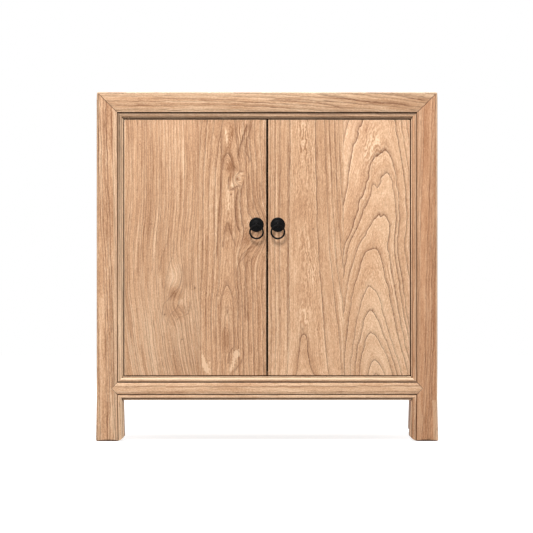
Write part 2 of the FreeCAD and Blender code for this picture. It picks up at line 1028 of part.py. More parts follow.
def door_stops():
    """Strips under the top rail and on the bottom rail that the closed doors meet."""
    left = (cabinet_width - stop_length) / 2
    right = left + stop_length
    front = door_back + stop_clearance
    back = front + stop_thickness
    upper = block(left, right, front, back, opening_top - stop_height, opening_top)
    lower = block(left, right, front, back, bottom_rail_top, bottom_rail_top + stop_height)
    return upper, lower


# Ring pull of the left door


def outward(x, height, z):
    """The point that stands a height in front of the left door's face."""
    return at(x, door_setback - height, z)


def rosette():
    """Round back plate with a raised ring and a shallow dome."""
    hole = leg_radius + leg_clearance
    ridge = (rosette_ridge_radius, rosette_ridge_height)
    valley = (rosette_valley_radius, rosette_valley_height)
    rim = (rosette_radius, rosette_rim)
    boss = (rosette_boss_radius, rosette_dome_height)
    rim_middle_radius = (rosette_radius + rosette_ridge_radius) / 2
    rise = rosette_ridge_height - rosette_rim
    rim_middle = (rim_middle_radius, rosette_rim + rise * math.sin(math.pi / 3))
    dome_radius = (rosette_valley_radius + rosette_boss_radius) / 2
    dome_rise = rosette_dome_height - rosette_valley_height
    dome_middle = (dome_radius, rosette_valley_height + dome_rise * math.sin(math.pi / 4))
    runs = lines_through([(hole, 0), (rosette_radius, 0), rim])
    runs += [(rim, rim_middle, ridge), (ridge, valley), (valley, dome_middle, boss)]
    runs += lines_through([boss, (hole, rosette_dome_height), (hole, 0)])
    edges = edges_of(runs, lambda radius, height: outward(pull_x + radius, height, pull_height))
    face = Part.Face(Part.Wire(edges))
    return face.revolve(outward(pull_x, 0, pull_height), BACK, FULL_TURN)


def eye():
    """The eye of the split pin, which holds the ring."""
    start = pull_x - eye_width / 2
    disc = cylinder(start, eye_y, pull_height, eye_radius, eye_width, RIGHT)
    disc = disc.makeFillet(eye_edge_round, [e for e in disc.Edges if e.Closed])
    reach = eye_width + 2 * overrun
    return disc.cut(
        cylinder(start - overrun, eye_y, pull_height, eye_hole_radius, reach, RIGHT)
    )


def staple():
    """Split pin: its legs go through the door and are bent apart behind it."""
    tail_face = door_back + back_washer_thickness
    neck = eye_y + (eye_radius + eye_hole_radius) / 2
    leg = cylinder(pull_x, neck, pull_height, leg_radius, tail_face + tail_thickness - neck, BACK)
    split = block(
        pull_x - 2 * leg_radius,
        pull_x + 2 * leg_radius,
        door_setback,
        tail_face + tail_thickness + overrun,
        pull_height - leg_split / 2,
        pull_height + leg_split / 2,
    )
    upper = block(
        pull_x - leg_radius,
        pull_x + leg_radius,
        tail_face,
        tail_face + tail_thickness,
        pull_height + leg_split / 2,
        pull_height + tail_length,
    )
    lower = upper.mirror(at(pull_x, tail_face, pull_height), UP)
    pin = eye().fuse([leg, upper, lower]).removeSplitter()
    return pin.cut(split)


def back_washer():
    """Iron washer behind the door, under the bent tails."""
    disc = cylinder(
        pull_x, door_back, pull_height, back_washer_radius, back_washer_thickness, BACK
    )
    hole = leg_radius + leg_clearance
    length = back_washer_thickness + 2 * overrun
    return disc.cut(cylinder(pull_x, door_back - overrun, pull_height, hole, length, BACK))


def pull_ring():
    """The ring, hanging in the eye."""
    centre = at(pull_x, eye_y, ring_top - ring_radius)
    return Part.makeTorus(ring_radius, ring_wire_radius, centre, BACK)


# The whole cabinet


def carcass_nodes():
    """Named pieces of the carcass."""
    top_boards, top_battens = top_panel_and_battens()
    back_boards, back_battens = back_panel_and_battens()
    floor, floor_battens = floor_and_battens()
    upper_stop, lower_stop = door_stops()
    side_boards = side_panel()
    post_front = front_post()
    post_rear = rear_post()
    side_rail_top = top_side_rail()
    side_rail_bottom = bottom_side_rail()
    bearer = shelf_bearer()
    nodes = {
        "post_front_left": [post_front],
        "post_front_right": [mirrored(post_front)],
        "post_rear_left": [post_rear],
        "post_rear_right": [mirrored(post_rear)],
        "top_rail_front": [top_front_rail()],
        "top_rail_rear": [top_rear_rail()],
        "top_rail_left": [side_rail_top],
        "top_rail_right": [mirrored(side_rail_top)],
        "bottom_rail_front": [bottom_front_rail()],
        "bottom_rail_rear": [bottom_rear_rail()],
        "bottom_rail_left": [side_rail_bottom],
        "bottom_rail_right": [mirrored(side_rail_bottom)],
        "side_panel_left": side_boards,
        "side_panel_right": [mirrored(board) for board in side_boards],
        "back_panel_battens": back_battens,
        "floor_battens": floor_battens,
        "top_panel_battens": top_battens,
        "shelf_bearer_left": [bearer],
        "shelf_bearer_right": [mirrored(bearer)],
        "door_stop_upper": [upper_stop],
        "door_stop_lower": [lower_stop],
        "pivot_washers": both_sides(pivot_washer()),
    }
    nodes["top_board_front"], nodes["top_board_rear"] = [[board] for board in top_boards]
    nodes["shelf_board_front"], nodes["shelf_board_rear"] = [[board] for board in shelf()]
    nodes["floor_board_front"], nodes["floor_board_rear"] = [[board] for board in floor]
    for number, board in enumerate(back_boards, start=1):
        nodes[f"back_board_{number}"] = [board]
    return nodes


def door_nodes():
    """Named pieces of the two doors and their pulls."""
    nodes = {}
    shares = {"left": left_hinge_board_share, "right": right_hinge_board_share}
    for side, share in shares.items():
        hinge_board, meeting_board = door_boards(share)
        battens, _ = door_battens()
        pieces = {
            f"door_{side}_hinge_board": [hinge_board],
            f"door_{side}_meeting_board": [meeting_board],
            f"door_{side}_battens": battens,
            f"door_{side}_pivot_dowels": pivot_dowels(),
            f"rosette_{side}": [rosette()],
            f"split_pin_{side}": [staple()],
            f"pull_back_washer_{side}": [back_washer()],
            f"pull_ring_{side}": [pull_ring()],
        }
        for name, solids in pieces.items():
            nodes[name] = solids if side == "left" else [mirrored(solid) for solid in solids]
    return nodes


def checked(name, solids):
    """The solids of a node as one shape, after a look at each."""
    for shape in solids:
        for solid in shape.Solids:
            if not solid.isValid() or solid.Volume <= 0:
                raise ValueError(f"{name} holds a solid that isn't sound")
    pieces = [solid for shape in solids for solid in shape.Solids]
    return pieces[0] if len(pieces) == 1 else Part.makeCompound(pieces)


def main():
    """Builds every node and writes it to parts/."""
    os.makedirs("parts", exist_ok=True)
    nodes = {**carcass_nodes(), **door_nodes()}
    for name, solids in nodes.items():
        shape = checked(name, solids)
        shape.exportStep(f"parts/{name}.step")
        print(name, len(shape.Solids), round(shape.Volume))


if __name__ == "__main__":
    main()
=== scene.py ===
"""Kang cabinet of waxed elm: its finishes and fine shapes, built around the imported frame."""

import logging
import math
from dataclasses import dataclass, field
from enum import Enum
from typing import Callable, Iterable, Optional, Sequence, Union

import bmesh
import bpy
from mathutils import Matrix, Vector
from mathutils.bvhtree import BVHTree


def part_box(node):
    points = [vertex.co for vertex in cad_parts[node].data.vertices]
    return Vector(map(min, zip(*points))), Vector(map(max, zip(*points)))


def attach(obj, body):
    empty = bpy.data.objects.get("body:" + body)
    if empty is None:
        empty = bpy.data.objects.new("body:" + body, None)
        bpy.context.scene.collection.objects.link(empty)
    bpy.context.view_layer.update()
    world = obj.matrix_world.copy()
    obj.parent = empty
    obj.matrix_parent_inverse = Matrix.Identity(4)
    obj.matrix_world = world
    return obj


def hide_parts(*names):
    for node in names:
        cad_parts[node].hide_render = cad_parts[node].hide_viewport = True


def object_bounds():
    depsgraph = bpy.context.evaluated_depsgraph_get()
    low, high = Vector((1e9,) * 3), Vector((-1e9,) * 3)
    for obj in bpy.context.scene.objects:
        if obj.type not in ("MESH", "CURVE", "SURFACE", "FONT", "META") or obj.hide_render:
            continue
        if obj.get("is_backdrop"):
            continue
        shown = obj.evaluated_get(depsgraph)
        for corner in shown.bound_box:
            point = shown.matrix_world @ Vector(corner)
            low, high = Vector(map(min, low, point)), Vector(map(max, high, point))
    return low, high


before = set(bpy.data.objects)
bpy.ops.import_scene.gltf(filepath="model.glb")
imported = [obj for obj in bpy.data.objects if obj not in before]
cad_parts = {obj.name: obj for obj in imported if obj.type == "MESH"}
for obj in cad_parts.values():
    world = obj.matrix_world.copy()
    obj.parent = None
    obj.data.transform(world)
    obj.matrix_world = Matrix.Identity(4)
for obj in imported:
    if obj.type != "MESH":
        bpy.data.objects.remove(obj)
log = logging.getLogger("kang_cabinet")

MILLIMETRE = 0.001
# Name of the face attribute that holds rubbed edges and painted highlights above 0, dirt and
# painted shade below 0, and painted black shade below -1.
WEAR_AND_LIGHT = "wear"
SIDES = ("left", "right")
PLACES = ("front", "rear", "left", "right")

Source = Union[float, "Wire"]
Socket = Union[str, int]
Colour = tuple[float, ...]
Chooser = Callable[[Vector], bool]


def linear(red: int, green: int, blue: int) -> Colour:
    """A screen colour from 0 to 255 as the linear colour that a shader takes, fully opaque."""
    shares = (value / 255 for value in (red, green, blue))
    channels = [s / 12.92 if s <= 0.04045 else ((s + 0.055) / 1.055) ** 2.4 for s in shares]
    return (*channels, 1.0)


def step(operation: str) -> Callable[..., "Wire"]:
    """A method that does one step of arithmetic on a wire.

    Args:
        operation: Blender's name of the step.

    Returns:
        The method.
    """

    def done(wire: "Wire", *others: Source) -> "Wire":
        """The result of the step."""
        return wire.bench.math(operation, wire, *others)

    return done


class Wire:
    """A value in a shader tree, which can be reckoned with like a number."""

    __add__ = __radd__ = step("ADD")
    __mul__ = __rmul__ = step("MULTIPLY")
    __sub__ = step("SUBTRACT")
    __truediv__ = step("DIVIDE")
    __pow__ = step("POWER")
    __abs__ = step("ABSOLUTE")
    at_least = step("MAXIMUM")
    at_most = step("MINIMUM")

    def __init__(self, bench: "Bench", socket: bpy.types.NodeSocket) -> None:
        """Holds the socket that gives the value, and the bench that it is on."""
        self.bench = bench
        self.socket = socket

    def __rsub__(self, other: float) -> "Wire":
        """A number less this value."""
        return self.bench.math("SUBTRACT", other, self)

    def raised(self, least: float) -> "Wire":
        """A share from 0 to 1 that starts from a least value instead."""
        return self * (1.0 - least) + least

    def wave(self) -> "Wire":
        """A sine that swings once for each whole number of the value."""
        return self.bench.math("SINE", self * math.tau)

    def fading(self, reach: float) -> "Wire":
        """1 where the value is 0, and about a third of that where it is the reach."""
        return self.bench.math("EXPONENT", self * (-1.0 / reach))

    def swing(self, reach: Source) -> "Wire":
        """Noise moved about zero, with a full swing as large as the reach."""
        return (self - 0.5) * reach

    def between(self, low: float, high: float, smooth: bool = True) -> "Wire":
        """How far a value has come from one limit to another, kept from 0 to 1.

        Args:
            low: Where the result is 0.
            high: Where the result is 1.
            smooth: Whether the result starts and ends gently.

        Returns:
            The share.
        """
        kind = "SMOOTHSTEP" if smooth else "LINEAR"
        limits = {"Value": self, "From Min": low, "From Max": high}
        return self.bench.use("MapRange", limits, interpolation_type=kind)


class Bench:
    """Adds nodes to one shader tree and links them."""

    def __init__(self, tree: bpy.types.NodeTree) -> None:
        """Starts on a tree."""
        self.tree = tree

    def put(
        self, kind: str, inputs: dict[Socket, Union[Source, Colour]], **settings: object
    ) -> bpy.types.Node:
        """Adds a node and gives it its inputs.

        Args:
            kind: Blender's type name of the node, without the word ShaderNode before it.
            inputs: A wire or a plain value for each input, by its name or number.
            settings: Values for the node's own properties.

        Returns:
            The new node.
        """
        made = self.tree.nodes.new(kind if kind.startswith("NodeGroup") else "ShaderNode" + kind)
        for name, value in settings.items():
            setattr(made, name, value)
        for name, source in inputs.items():
            if isinstance(source, Wire):
                self.tree.links.new(source.socket, made.inputs[name])
            else:
                made.inputs[name].default_value = source
        return made

    def use(
        self,
        kind: str,
        inputs: dict[Socket, Union[Source, Colour]],
        result: Socket = 0,
        **settings: object,
    ) -> Wire:
        """Adds a node and takes one of its outputs.

        Args:
            kind: Blender's type name of the node, without the word ShaderNode before it.
            inputs: A wire or a plain value for each input, by its name or number.
            result: Name or number of the output.
            settings: Values for the node's own properties.

        Returns:
            The output.
        """
        return Wire(self, self.put(kind, inputs, **settings).outputs[result])

    def wires(self, node: bpy.types.Node) -> dict[str, Wire]:
        """All outputs of a node by their names."""
        return {socket.name: Wire(self, socket) for socket in node.outputs}

    def math(self, operation: str, *sources: Source) -> Wire:
        """One step of arithmetic."""
        return self.use("Math", dict(enumerate(sources)), operation=operation)

    def place(self, across: Source, depth: Source, along: Source) -> Wire:
        """Three coordinates as one vector."""
        return self.use("CombineXYZ", {0: across, 1: depth, 2: along})

    def blend(
        self, share: Source, first: Union[Colour, Wire], second: Union[Colour, Wire]
    ) -> Wire:
        """A colour between two others, where 0 gives the first and 1 the second."""
        return self.use("Mix", {0: share, 6: first, 7: second}, 2, data_type="RGBA")

    def bump(self, height: Wire, relief: float) -> Wire:
        """A normal that follows a height from 0 to 1, which stands for a relief in metres."""
        return self.use("Bump", {"Height": height, "Distance": relief, "Strength": 1.0})


def emptied(owner: Union[bpy.types.Material, bpy.types.World]) -> Bench:
    """A bench on the emptied tree of a new material or world."""
    owner.use_nodes = True
    owner.node_tree.nodes.clear()
    return Bench(owner.node_tree)


@dataclass(frozen=True)
class Noise:
    """Noise that can be drawn out along the grain.

    Attributes:
        wide: Waves in a metre across the grain.
        long: Waves in a metre along it.
        detail: How many finer layers it has.
        roughness: How strong the finer layers are.
        reach: What a full swing amounts to.
    """

    wide: float
    long: float
    detail: float = 2.0
    roughness: float = 0.5
    reach: float = 2.0

    def at(self, spot: Wire) -> Wire:
        """The noise from 0 to 1 at a place across, into and along the grain."""
        stretch = {0: spot, 1: (self.wide, self.wide, self.long)}
        stretched = spot.bench.use("VectorMath", stretch, operation="MULTIPLY")
        fineness = {"Scale": 1.0, "Detail": self.detail, "Roughness": self.roughness}
        return spot.bench.use("TexNoise", {"Vector": stretched, **fineness})

    def swing(self, spot: Wire) -> Wire:
        """The noise about zero, with its own reach."""
        return self.at(spot).swing(self.reach)


class Cut(Enum):
    """How a board lies: which of X, Y and Z run across it, into it and along its grain."""

    FRONT_UPRIGHT = (0, 1, 2)
    FRONT_LEVEL = (2, 1, 0)
    SIDE_UPRIGHT = (1, 0, 2)
    SIDE_LEVEL = (2, 0, 1)
    FLAT_LEVEL = (1, 2, 0)
    FLAT_DEEP = (0, 2, 1)

    def parts(self, spot: Wire) -> tuple[Wire, ...]:
        """A place's coordinates across the board, into it and along it."""
        outputs = spot.bench.put("SeparateXYZ", {0: spot}).outputs
        return tuple(Wire(spot.bench, outputs[axis]) for axis in self.value)


@dataclass(frozen=True)
class Mark:
    """A soft-edged place on a board, in millimetres.

    Attributes:
        across: Place across the board.
        along: Place along the board.
        width: Reach across the board.
        length: Reach along the board.
        amount: How strong it is; metres where it moves the growth rings.
    """

    across: float
    along: float
    width: float = 1.4
    length: float = 1.6
    amount: float = 1.0

    def hill(self, across: Wire, along: Wire) -> Wire:
        """1 at the middle of the mark, falling off round it."""
        sideways = (across - self.across * MILLIMETRE) * (1 / (self.width * MILLIMETRE))
        lengthways = (along - self.along * MILLIMETRE) * (1 / (self.length * MILLIMETRE))
        return (sideways * sideways + lengthways * lengthways).fading(1.0)


def marks(*rows: tuple[float, ...]) -> tuple[Mark, ...]:
    """Marks from rows of their numbers."""
    return tuple(Mark(*row) for row in rows)


def added(place: tuple[Wire, Wire], hills: Iterable[Mark], start: float = 0.0) -> Source:
    """What some marks add up to.

    Args:
        place: Place across and along the board.
        hills: The marks.
        start: What it is away from every mark.

    Returns:
        The sum.
    """
    total: Source = start
    for mark in hills:
        total = total + mark.hill(*place) * mark.amount
    return total


def curve(
    value: Wire, places: Sequence[float], results: Sequence[float], handle: str = "AUTO"
) -> Source:
    """A value that follows some given points.

    Args:
        value: The value to look up.
        places: Where the result is known, from low to high.
        results: The result at each place.
        handle: How the curve passes through the points.

    Returns:
        The result, a plain number if it is the same everywhere.
    """
    low, high = min(results), max(results)
    start, end = places[0], places[-1]
    if low == high:
        return low
    node = value.bench.put("FloatCurve", {"Value": value.between(start, end, False)})
    points = node.mapping.curves[0].points
    while len(points) < len(places):
        points.new(0.5, 0.5)
    for point, place, result in zip(points, places, results):
        point.location = ((place - start) / (end - start), (result - low) / (high - low))
        point.handle_type = handle
    node.mapping.update()
    return Wire(value.bench, node.outputs[0]) * (high - low) + low


@dataclass(frozen=True)
class Trace:
    """One dark grain line that runs more or less along a board, in millimetres.

    Attributes:
        strength: How dark it is, where 1 is a full line.
        points: Places along and across the board in turn, from low to high.
        width: Distance at which it has faded.
        sides: How much softer than that it is on one side, and how much sharper on the other.
        tail: Share of its length over which each end fades.
    """

    strength: float
    points: tuple[float, ...]
    width: float = 1.9
    sides: tuple[float, float] = (1.7, 0.5)
    tail: float = 0.12

    def dark(self, across: Wire, along: Wire) -> Wire:
        """How dark it makes a place.

        Args:
            across: Place across the board.
            along: Place along the board.

        Returns:
            The share of the line's colour.
        """
        places = [number * MILLIMETRE for number in self.points[::2]]
        middles = [number * MILLIMETRE for number in self.points[1::2]]
        start, end = places[0], places[-1]
        away = across - curve(along, places, middles)
        away = (away * (1 / self.sides[0])).at_least(away * (-1 / self.sides[1]))
        tail = (end - start) * self.tail
        ends = along.between(start, start + tail) * along.between(end, end - tail)
        return away.fading(self.width * MILLIMETRE) * self.strength * ends


@dataclass(frozen=True)
class Pith:
    """A point on the middle line of the tree that a board was sawn from, in metres.

    Attributes:
        along: Place along the board.
        across: Place across the board.
        depth: Place in the board's thickness, usually outside it.
        left: How close together the rings are to the left of it, where 1 is round.
        right: How close together the rings are to the right of it.
    """

    along: float
    across: float
    depth: float
    left: float = 1.0
    right: float = 1.0


@dataclass(frozen=True)
class ElmFinish:
    """Waxed elm: its colours, sheen and relief.

    Attributes:
        pale: The lightest wood.
        body: The usual wood.
        deep: The deepest wood.
        line: The line of a growth ring.
        pore: The pores.
        grime_and_shade: Dirt that gathers in grooves, and the painted shade there.
        black_shade: Painted black shade in the deepest of them.
        warm: A warmer brown.
        bare_and_lit: Wood rubbed pale, which also stands for painted highlights.
        roughness: Roughness of the wax.
        ior: How strongly the wax bends light.
        specular: How strongly it mirrors.
        relief: Height of the grain.
        pointed: How pointed the arches of the rings are, where 2 is round.
        step: How far small steps move a ring.
        probe: Distance over which the rings of a surface are counted.
        widest_ring: Widest ring that a surface can show.
        steep: Rings in a metre of a surface cut steeply through them, and of a flat cut.
        unevenness: Noise that moves the rings.
        steps: Noise that moves them in small steps.
        fitful: Noise that makes a ring's line come and go.
        beaded: Noise that breaks it into beads.
        flat_gain: How much darker the line is where the rings are cut flat.
        line_parts: Reach and weight of a line's dark core and of its soft edge.
        darkest_line: Largest share of the line's colour.
        bright_reach: Width of the bright edge inside a line, partly a painted highlight and partly
            lighter wood.
        dashes: Noise from which the pores come.
        porous: Reach and weight of the pores beside a line, and how many there are elsewhere.
        pore_depth: Depth of a pore, where a line is 1 deep.
        light_height: Height of pale wood.
        bright_height: Height of the bright edge.
        feathers: Waves from ring to ring and their sway, for a flat cut and for a steep one.
        patchy: Noise that makes the feathery figure come and go.
        streaks: Streaks that run straight, and those that follow the rings.
        flat_streak: How much weaker the straight ones are in a flat cut.
        weights: How much the bright edge, the streaks and the feathery figure lighten.
        waver: Noise that makes the single grain lines waver.
        ragged: Noise that makes the flakes ragged.
        flake_cover: How much of the wood's colour a flake covers.
        fleck_cover: The same for a small dark mark.
        grime_and_shade_cover: The same for the dirt and painted shade.
        polish: How much smoother the wood is away from its hollows.
        dull: How much rougher it is under the dirt and painted shade.
        layers: Noise that makes the wood lighter and darker, and its weight.
        curved_layer: The same for noise that follows the rings.
    """

    pale: Colour = linear(244, 208, 172)
    body: Colour = linear(208, 163, 126)
    deep: Colour = linear(156, 110, 76)
    line: Colour = linear(104, 62, 36)
    pore: Colour = linear(112, 72, 46)
    # The colours below for dirt and for the darkest hollows also carry painted shade, and the
    # rubbed colour also carries painted highlights.
    grime_and_shade: Colour = linear(58, 38, 27)
    black_shade: Colour = linear(14, 11, 10)
    warm: Colour = linear(184, 124, 84)
    bare_and_lit: Colour = linear(255, 228, 194)
    roughness: float = 0.60
    ior: float = 1.45
    specular: float = 0.32
    relief: float = 0.30 * MILLIMETRE
    pointed: float = 1.75
    step: float = 1.4 * MILLIMETRE
    probe: float = 0.5 * MILLIMETRE
    widest_ring: float = 0.14
    steep: tuple[float, float] = (70.0, 22.0)
    unevenness: tuple[Noise, ...] = (
        Noise(7.0, 1.9, 1.0, reach=0.012),
        Noise(30.0, 5.0, 1.0, reach=0.0040),
        Noise(62.0, 28.0, 1.0, reach=0.0020),
        Noise(190.0, 70.0, 1.0, reach=0.0007),
    )
    steps: Noise = Noise(42.0, 30.0, 0.0)
    fitful: Noise = Noise(16.0, 6.0)
    beaded: Noise = Noise(480.0, 110.0, 1.0)
    flat_gain: float = 0.35
    line_parts: tuple[tuple[float, float], ...] = (
        (1.8 * MILLIMETRE, 0.95),
        (6.0 * MILLIMETRE, 0.22),
    )
    darkest_line: float = 0.92
    bright_reach: float = 1.6 * MILLIMETRE
    dashes: Noise = Noise(640.0, 30.0, 1.0)
    porous: tuple[float, float, float] = (3.5 * MILLIMETRE, 0.6, 0.22)
    pore_depth: float = 0.6
    light_height: float = 0.12
    bright_height: float = 0.25
    feathers: tuple[tuple[float, Noise], ...] = (
        (8.0, Noise(120.0, 55.0, reach=2.4)),
        (3.0, Noise(90.0, 30.0, 1.0, reach=0.9)),
    )
    patchy: Noise = Noise(20.0, 8.0)
    streaks: tuple[Noise, Noise] = (Noise(310.0, 9.0, 3.0, 0.7), Noise(240.0, 8.0, 3.0, 0.65))
    flat_streak: float = 0.7
    weights: tuple[float, float, float] = (0.75, 0.82, 0.44)
    waver: Noise = Noise(75.0, 75.0, 3.0, 0.6, 0.0045)
    ragged: Noise = Noise(260.0, 120.0, 4.0, 0.7, 2.1)
    flake_cover: float = 0.65
    fleck_cover: float = 0.85
    grime_and_shade_cover: float = 0.92
    polish: float = 0.10
    dull: float = 0.3
    layers: tuple[tuple[Noise, float], ...] = (
        (Noise(9.0, 3.0), 0.38),
        (Noise(420.0, 70.0), 0.42),
        (Noise(540.0, 230.0, 1.0), 0.75),
        (Noise(1500.0, 60.0, 2.0, 0.6), 0.50),
    )
    curved_layer: tuple[Noise, float] = (Noise(60.0, 2.0), 0.5)

    def group(self, name: str, inputs: str, outputs: str) -> tuple[Bench, dict[str, Wire]]:
        """An empty node group.

        Args:
            name: Its name.
            inputs: Names of its inputs; the one called Place is a vector.
            outputs: Names of its outputs; the one called Colour is a colour.

        Returns:
            A bench on it and the wires it is given, among them the place in the wood, Spot,
            if there is a seed to move it by.
        """
        kinds = {"Place": "NodeSocketVector", "Colour": "NodeSocketColor"}
        made = bpy.data.node_groups.new(name, "ShaderNodeTree")
        for way, names in (("INPUT", inputs), ("OUTPUT", outputs)):
            for socket in names.split():
                kind = kinds.get(socket, "NodeSocketFloat")
                made.interface.new_socket(socket, in_out=way, socket_type=kind)
        bench = Bench(made)
        given = bench.wires(bench.put("NodeGroupInput", {}))
        if "Seed" in given:
            shifts = {"Across": 1.7, "Depth": 2.9, "Along": 5.3}
            moved = [given[axis] + given["Seed"] * shift for axis, shift in shifts.items()]
            given["Spot"] = bench.place(*moved)
        return bench, given

    def growth(self) -> bpy.types.NodeTree:
        """How far a place is from the pith, with the tree's unevenness, made once.

        Returns:
            The node group.
        """
        known = bpy.data.node_groups.get("elm_growth")
        if known:
            return known
        names = "Across Depth Along Swell Left Right Seed Wave"
        bench, given = self.group("elm_growth", names, "Radius")
        spot, across = given["Spot"], given["Across"]
        leftward = (across * -1.0).at_least(0.0) * given["Left"]
        rightward = across.at_least(0.0) * given["Right"]
        sideways = (leftward + rightward) ** self.pointed
        radius = (sideways + abs(given["Depth"]) ** self.pointed) ** (1.0 / self.pointed)
        radius = radius + given["Swell"]
        for noise in self.unevenness:
            radius = radius + noise.at(spot).swing(given["Wave"] * noise.reach)
        steps = self.steps.at(spot).between(0.40, 0.60)
        radius = radius + steps.swing(given["Wave"] * self.step)
        bench.put("NodeGroupOutput", {"Radius": radius})
        return bench.tree

    def figure(self) -> bpy.types.NodeTree:
        """The grain of elm from the count of growth rings, made once.

        Returns:
            The node group.
        """
        known = bpy.data.node_groups.get("elm_figure")
        if known:
            return known
        names = "Across Depth Along Turns Slope Pitch Seed Lines Tone Feather Streak Warm Traced"
        bench, given = self.group("elm_figure", names, "Colour Height Gloss")
        slope = given["Slope"]
        grown = bench.math("FRACT", given["Turns"])
        outward = grown / slope
        inward = (1.0 - grown) / slope
        flat = slope.between(*self.steep)
        line, bright = self.ring_lines(given, outward, inward, flat)
        light = self.light(given, bright, flat)
        colour = bench.blend(light.between(0.0, 1.0, False), self.body, self.pale)
        colour = bench.blend(light.between(0.0, -1.0, False), colour, self.deep)
        colour = bench.blend(given["Warm"], colour, self.warm)
        dashes = self.dashes.at(given["Spot"]).between(0.60, 0.70)
        reach, weight, least = self.porous
        pores = dashes * (outward.fading(reach) * weight + least)
        colour = bench.blend(line, colour, self.line)
        colour = bench.blend(pores, colour, self.pore)
        hollow = line + pores * self.pore_depth
        height = 1.0 + (light * self.light_height + bright * self.bright_height) - hollow
        gloss = 1.0 - hollow.at_most(1.0)
        bench.put("NodeGroupOutput", {"Colour": colour, "Height": height, "Gloss": gloss})
        return bench.tree

    def ring_lines(
        self, given: dict[str, Wire], outward: Wire, inward: Wire, flat: Wire
    ) -> tuple[Wire, Wire]:
        """The dark porous line of each ring and the bright edge inside it, which is partly a
        painted highlight.

        Args:
            given: The figure's inputs.
            outward: Distance from the ring's line outwards.
            inward: Distance to the next line.
            flat: How flat the ring is cut.

        Returns:
            Share of the line's colour, and strength of the bright edge.
        """
        spot, bench = given["Spot"], outward.bench
        number = bench.math("FLOOR", given["Turns"])
        lot = bench.use("TexWhiteNoise", {"W": number + given["Seed"]}, noise_dimensions="1D")
        fitful = self.fitful.at(spot).between(0.30, 0.62).raised(0.6)
        beaded = self.beaded.at(spot).between(0.34, 0.60).raised(0.65)
        strength = lot.raised(0.65) * fitful * beaded
        strength = strength * (flat * self.flat_gain + 1.0) * given["Lines"]
        thin, soft = (outward.fading(reach) * weight for reach, weight in self.line_parts)
        line = ((thin + soft) * strength).at_least(given["Traced"] * beaded)
        # The bright edge inside each line is partly a painted highlight, where the line's lower
        # slope catches light from above, and partly lighter wood.
        return line.at_most(self.darkest_line), inward.fading(self.bright_reach) * strength

    def light(self, given: dict[str, Wire], bright: Wire, flat: Wire) -> Wire:
        """How light the wood is between its dark lines.

        Args:
            given: The figure's inputs.
            bright: Strength of the bright edge.
            flat: How flat the rings are cut.

        Returns:
            0 for the body colour, 1 for the palest and -1 for the deepest.
        """
        spot, turns = given["Spot"], given["Turns"]
        (fine_count, fine_sway), (even_count, even_sway) = self.feathers
        fine = (turns * fine_count + fine_sway.swing(spot)).wave() * flat
        even = (turns * even_count + even_sway.swing(spot)).wave() * (1.0 - flat)
        patchy = self.patchy.at(spot).between(0.36, 0.66).raised(0.25)
        feather = (fine + even) * patchy * given["Feather"]
        curved = spot.bench.place(turns * given["Pitch"], given["Seed"], given["Along"])
        steady, flowing = self.streaks
        streak = steady.swing(spot) * (1.0 - flat * self.flat_streak)
        combed = (streak + flowing.swing(curved)) * given["Streak"]
        total = given["Tone"]
        for part, weight in zip((bright, combed, feather), self.weights):
            total = total + part * weight
        for noise, weight in self.layers:
            total = total + noise.swing(spot) * weight
        broad, weight = self.curved_layer
        return total + broad.swing(curved) * weight


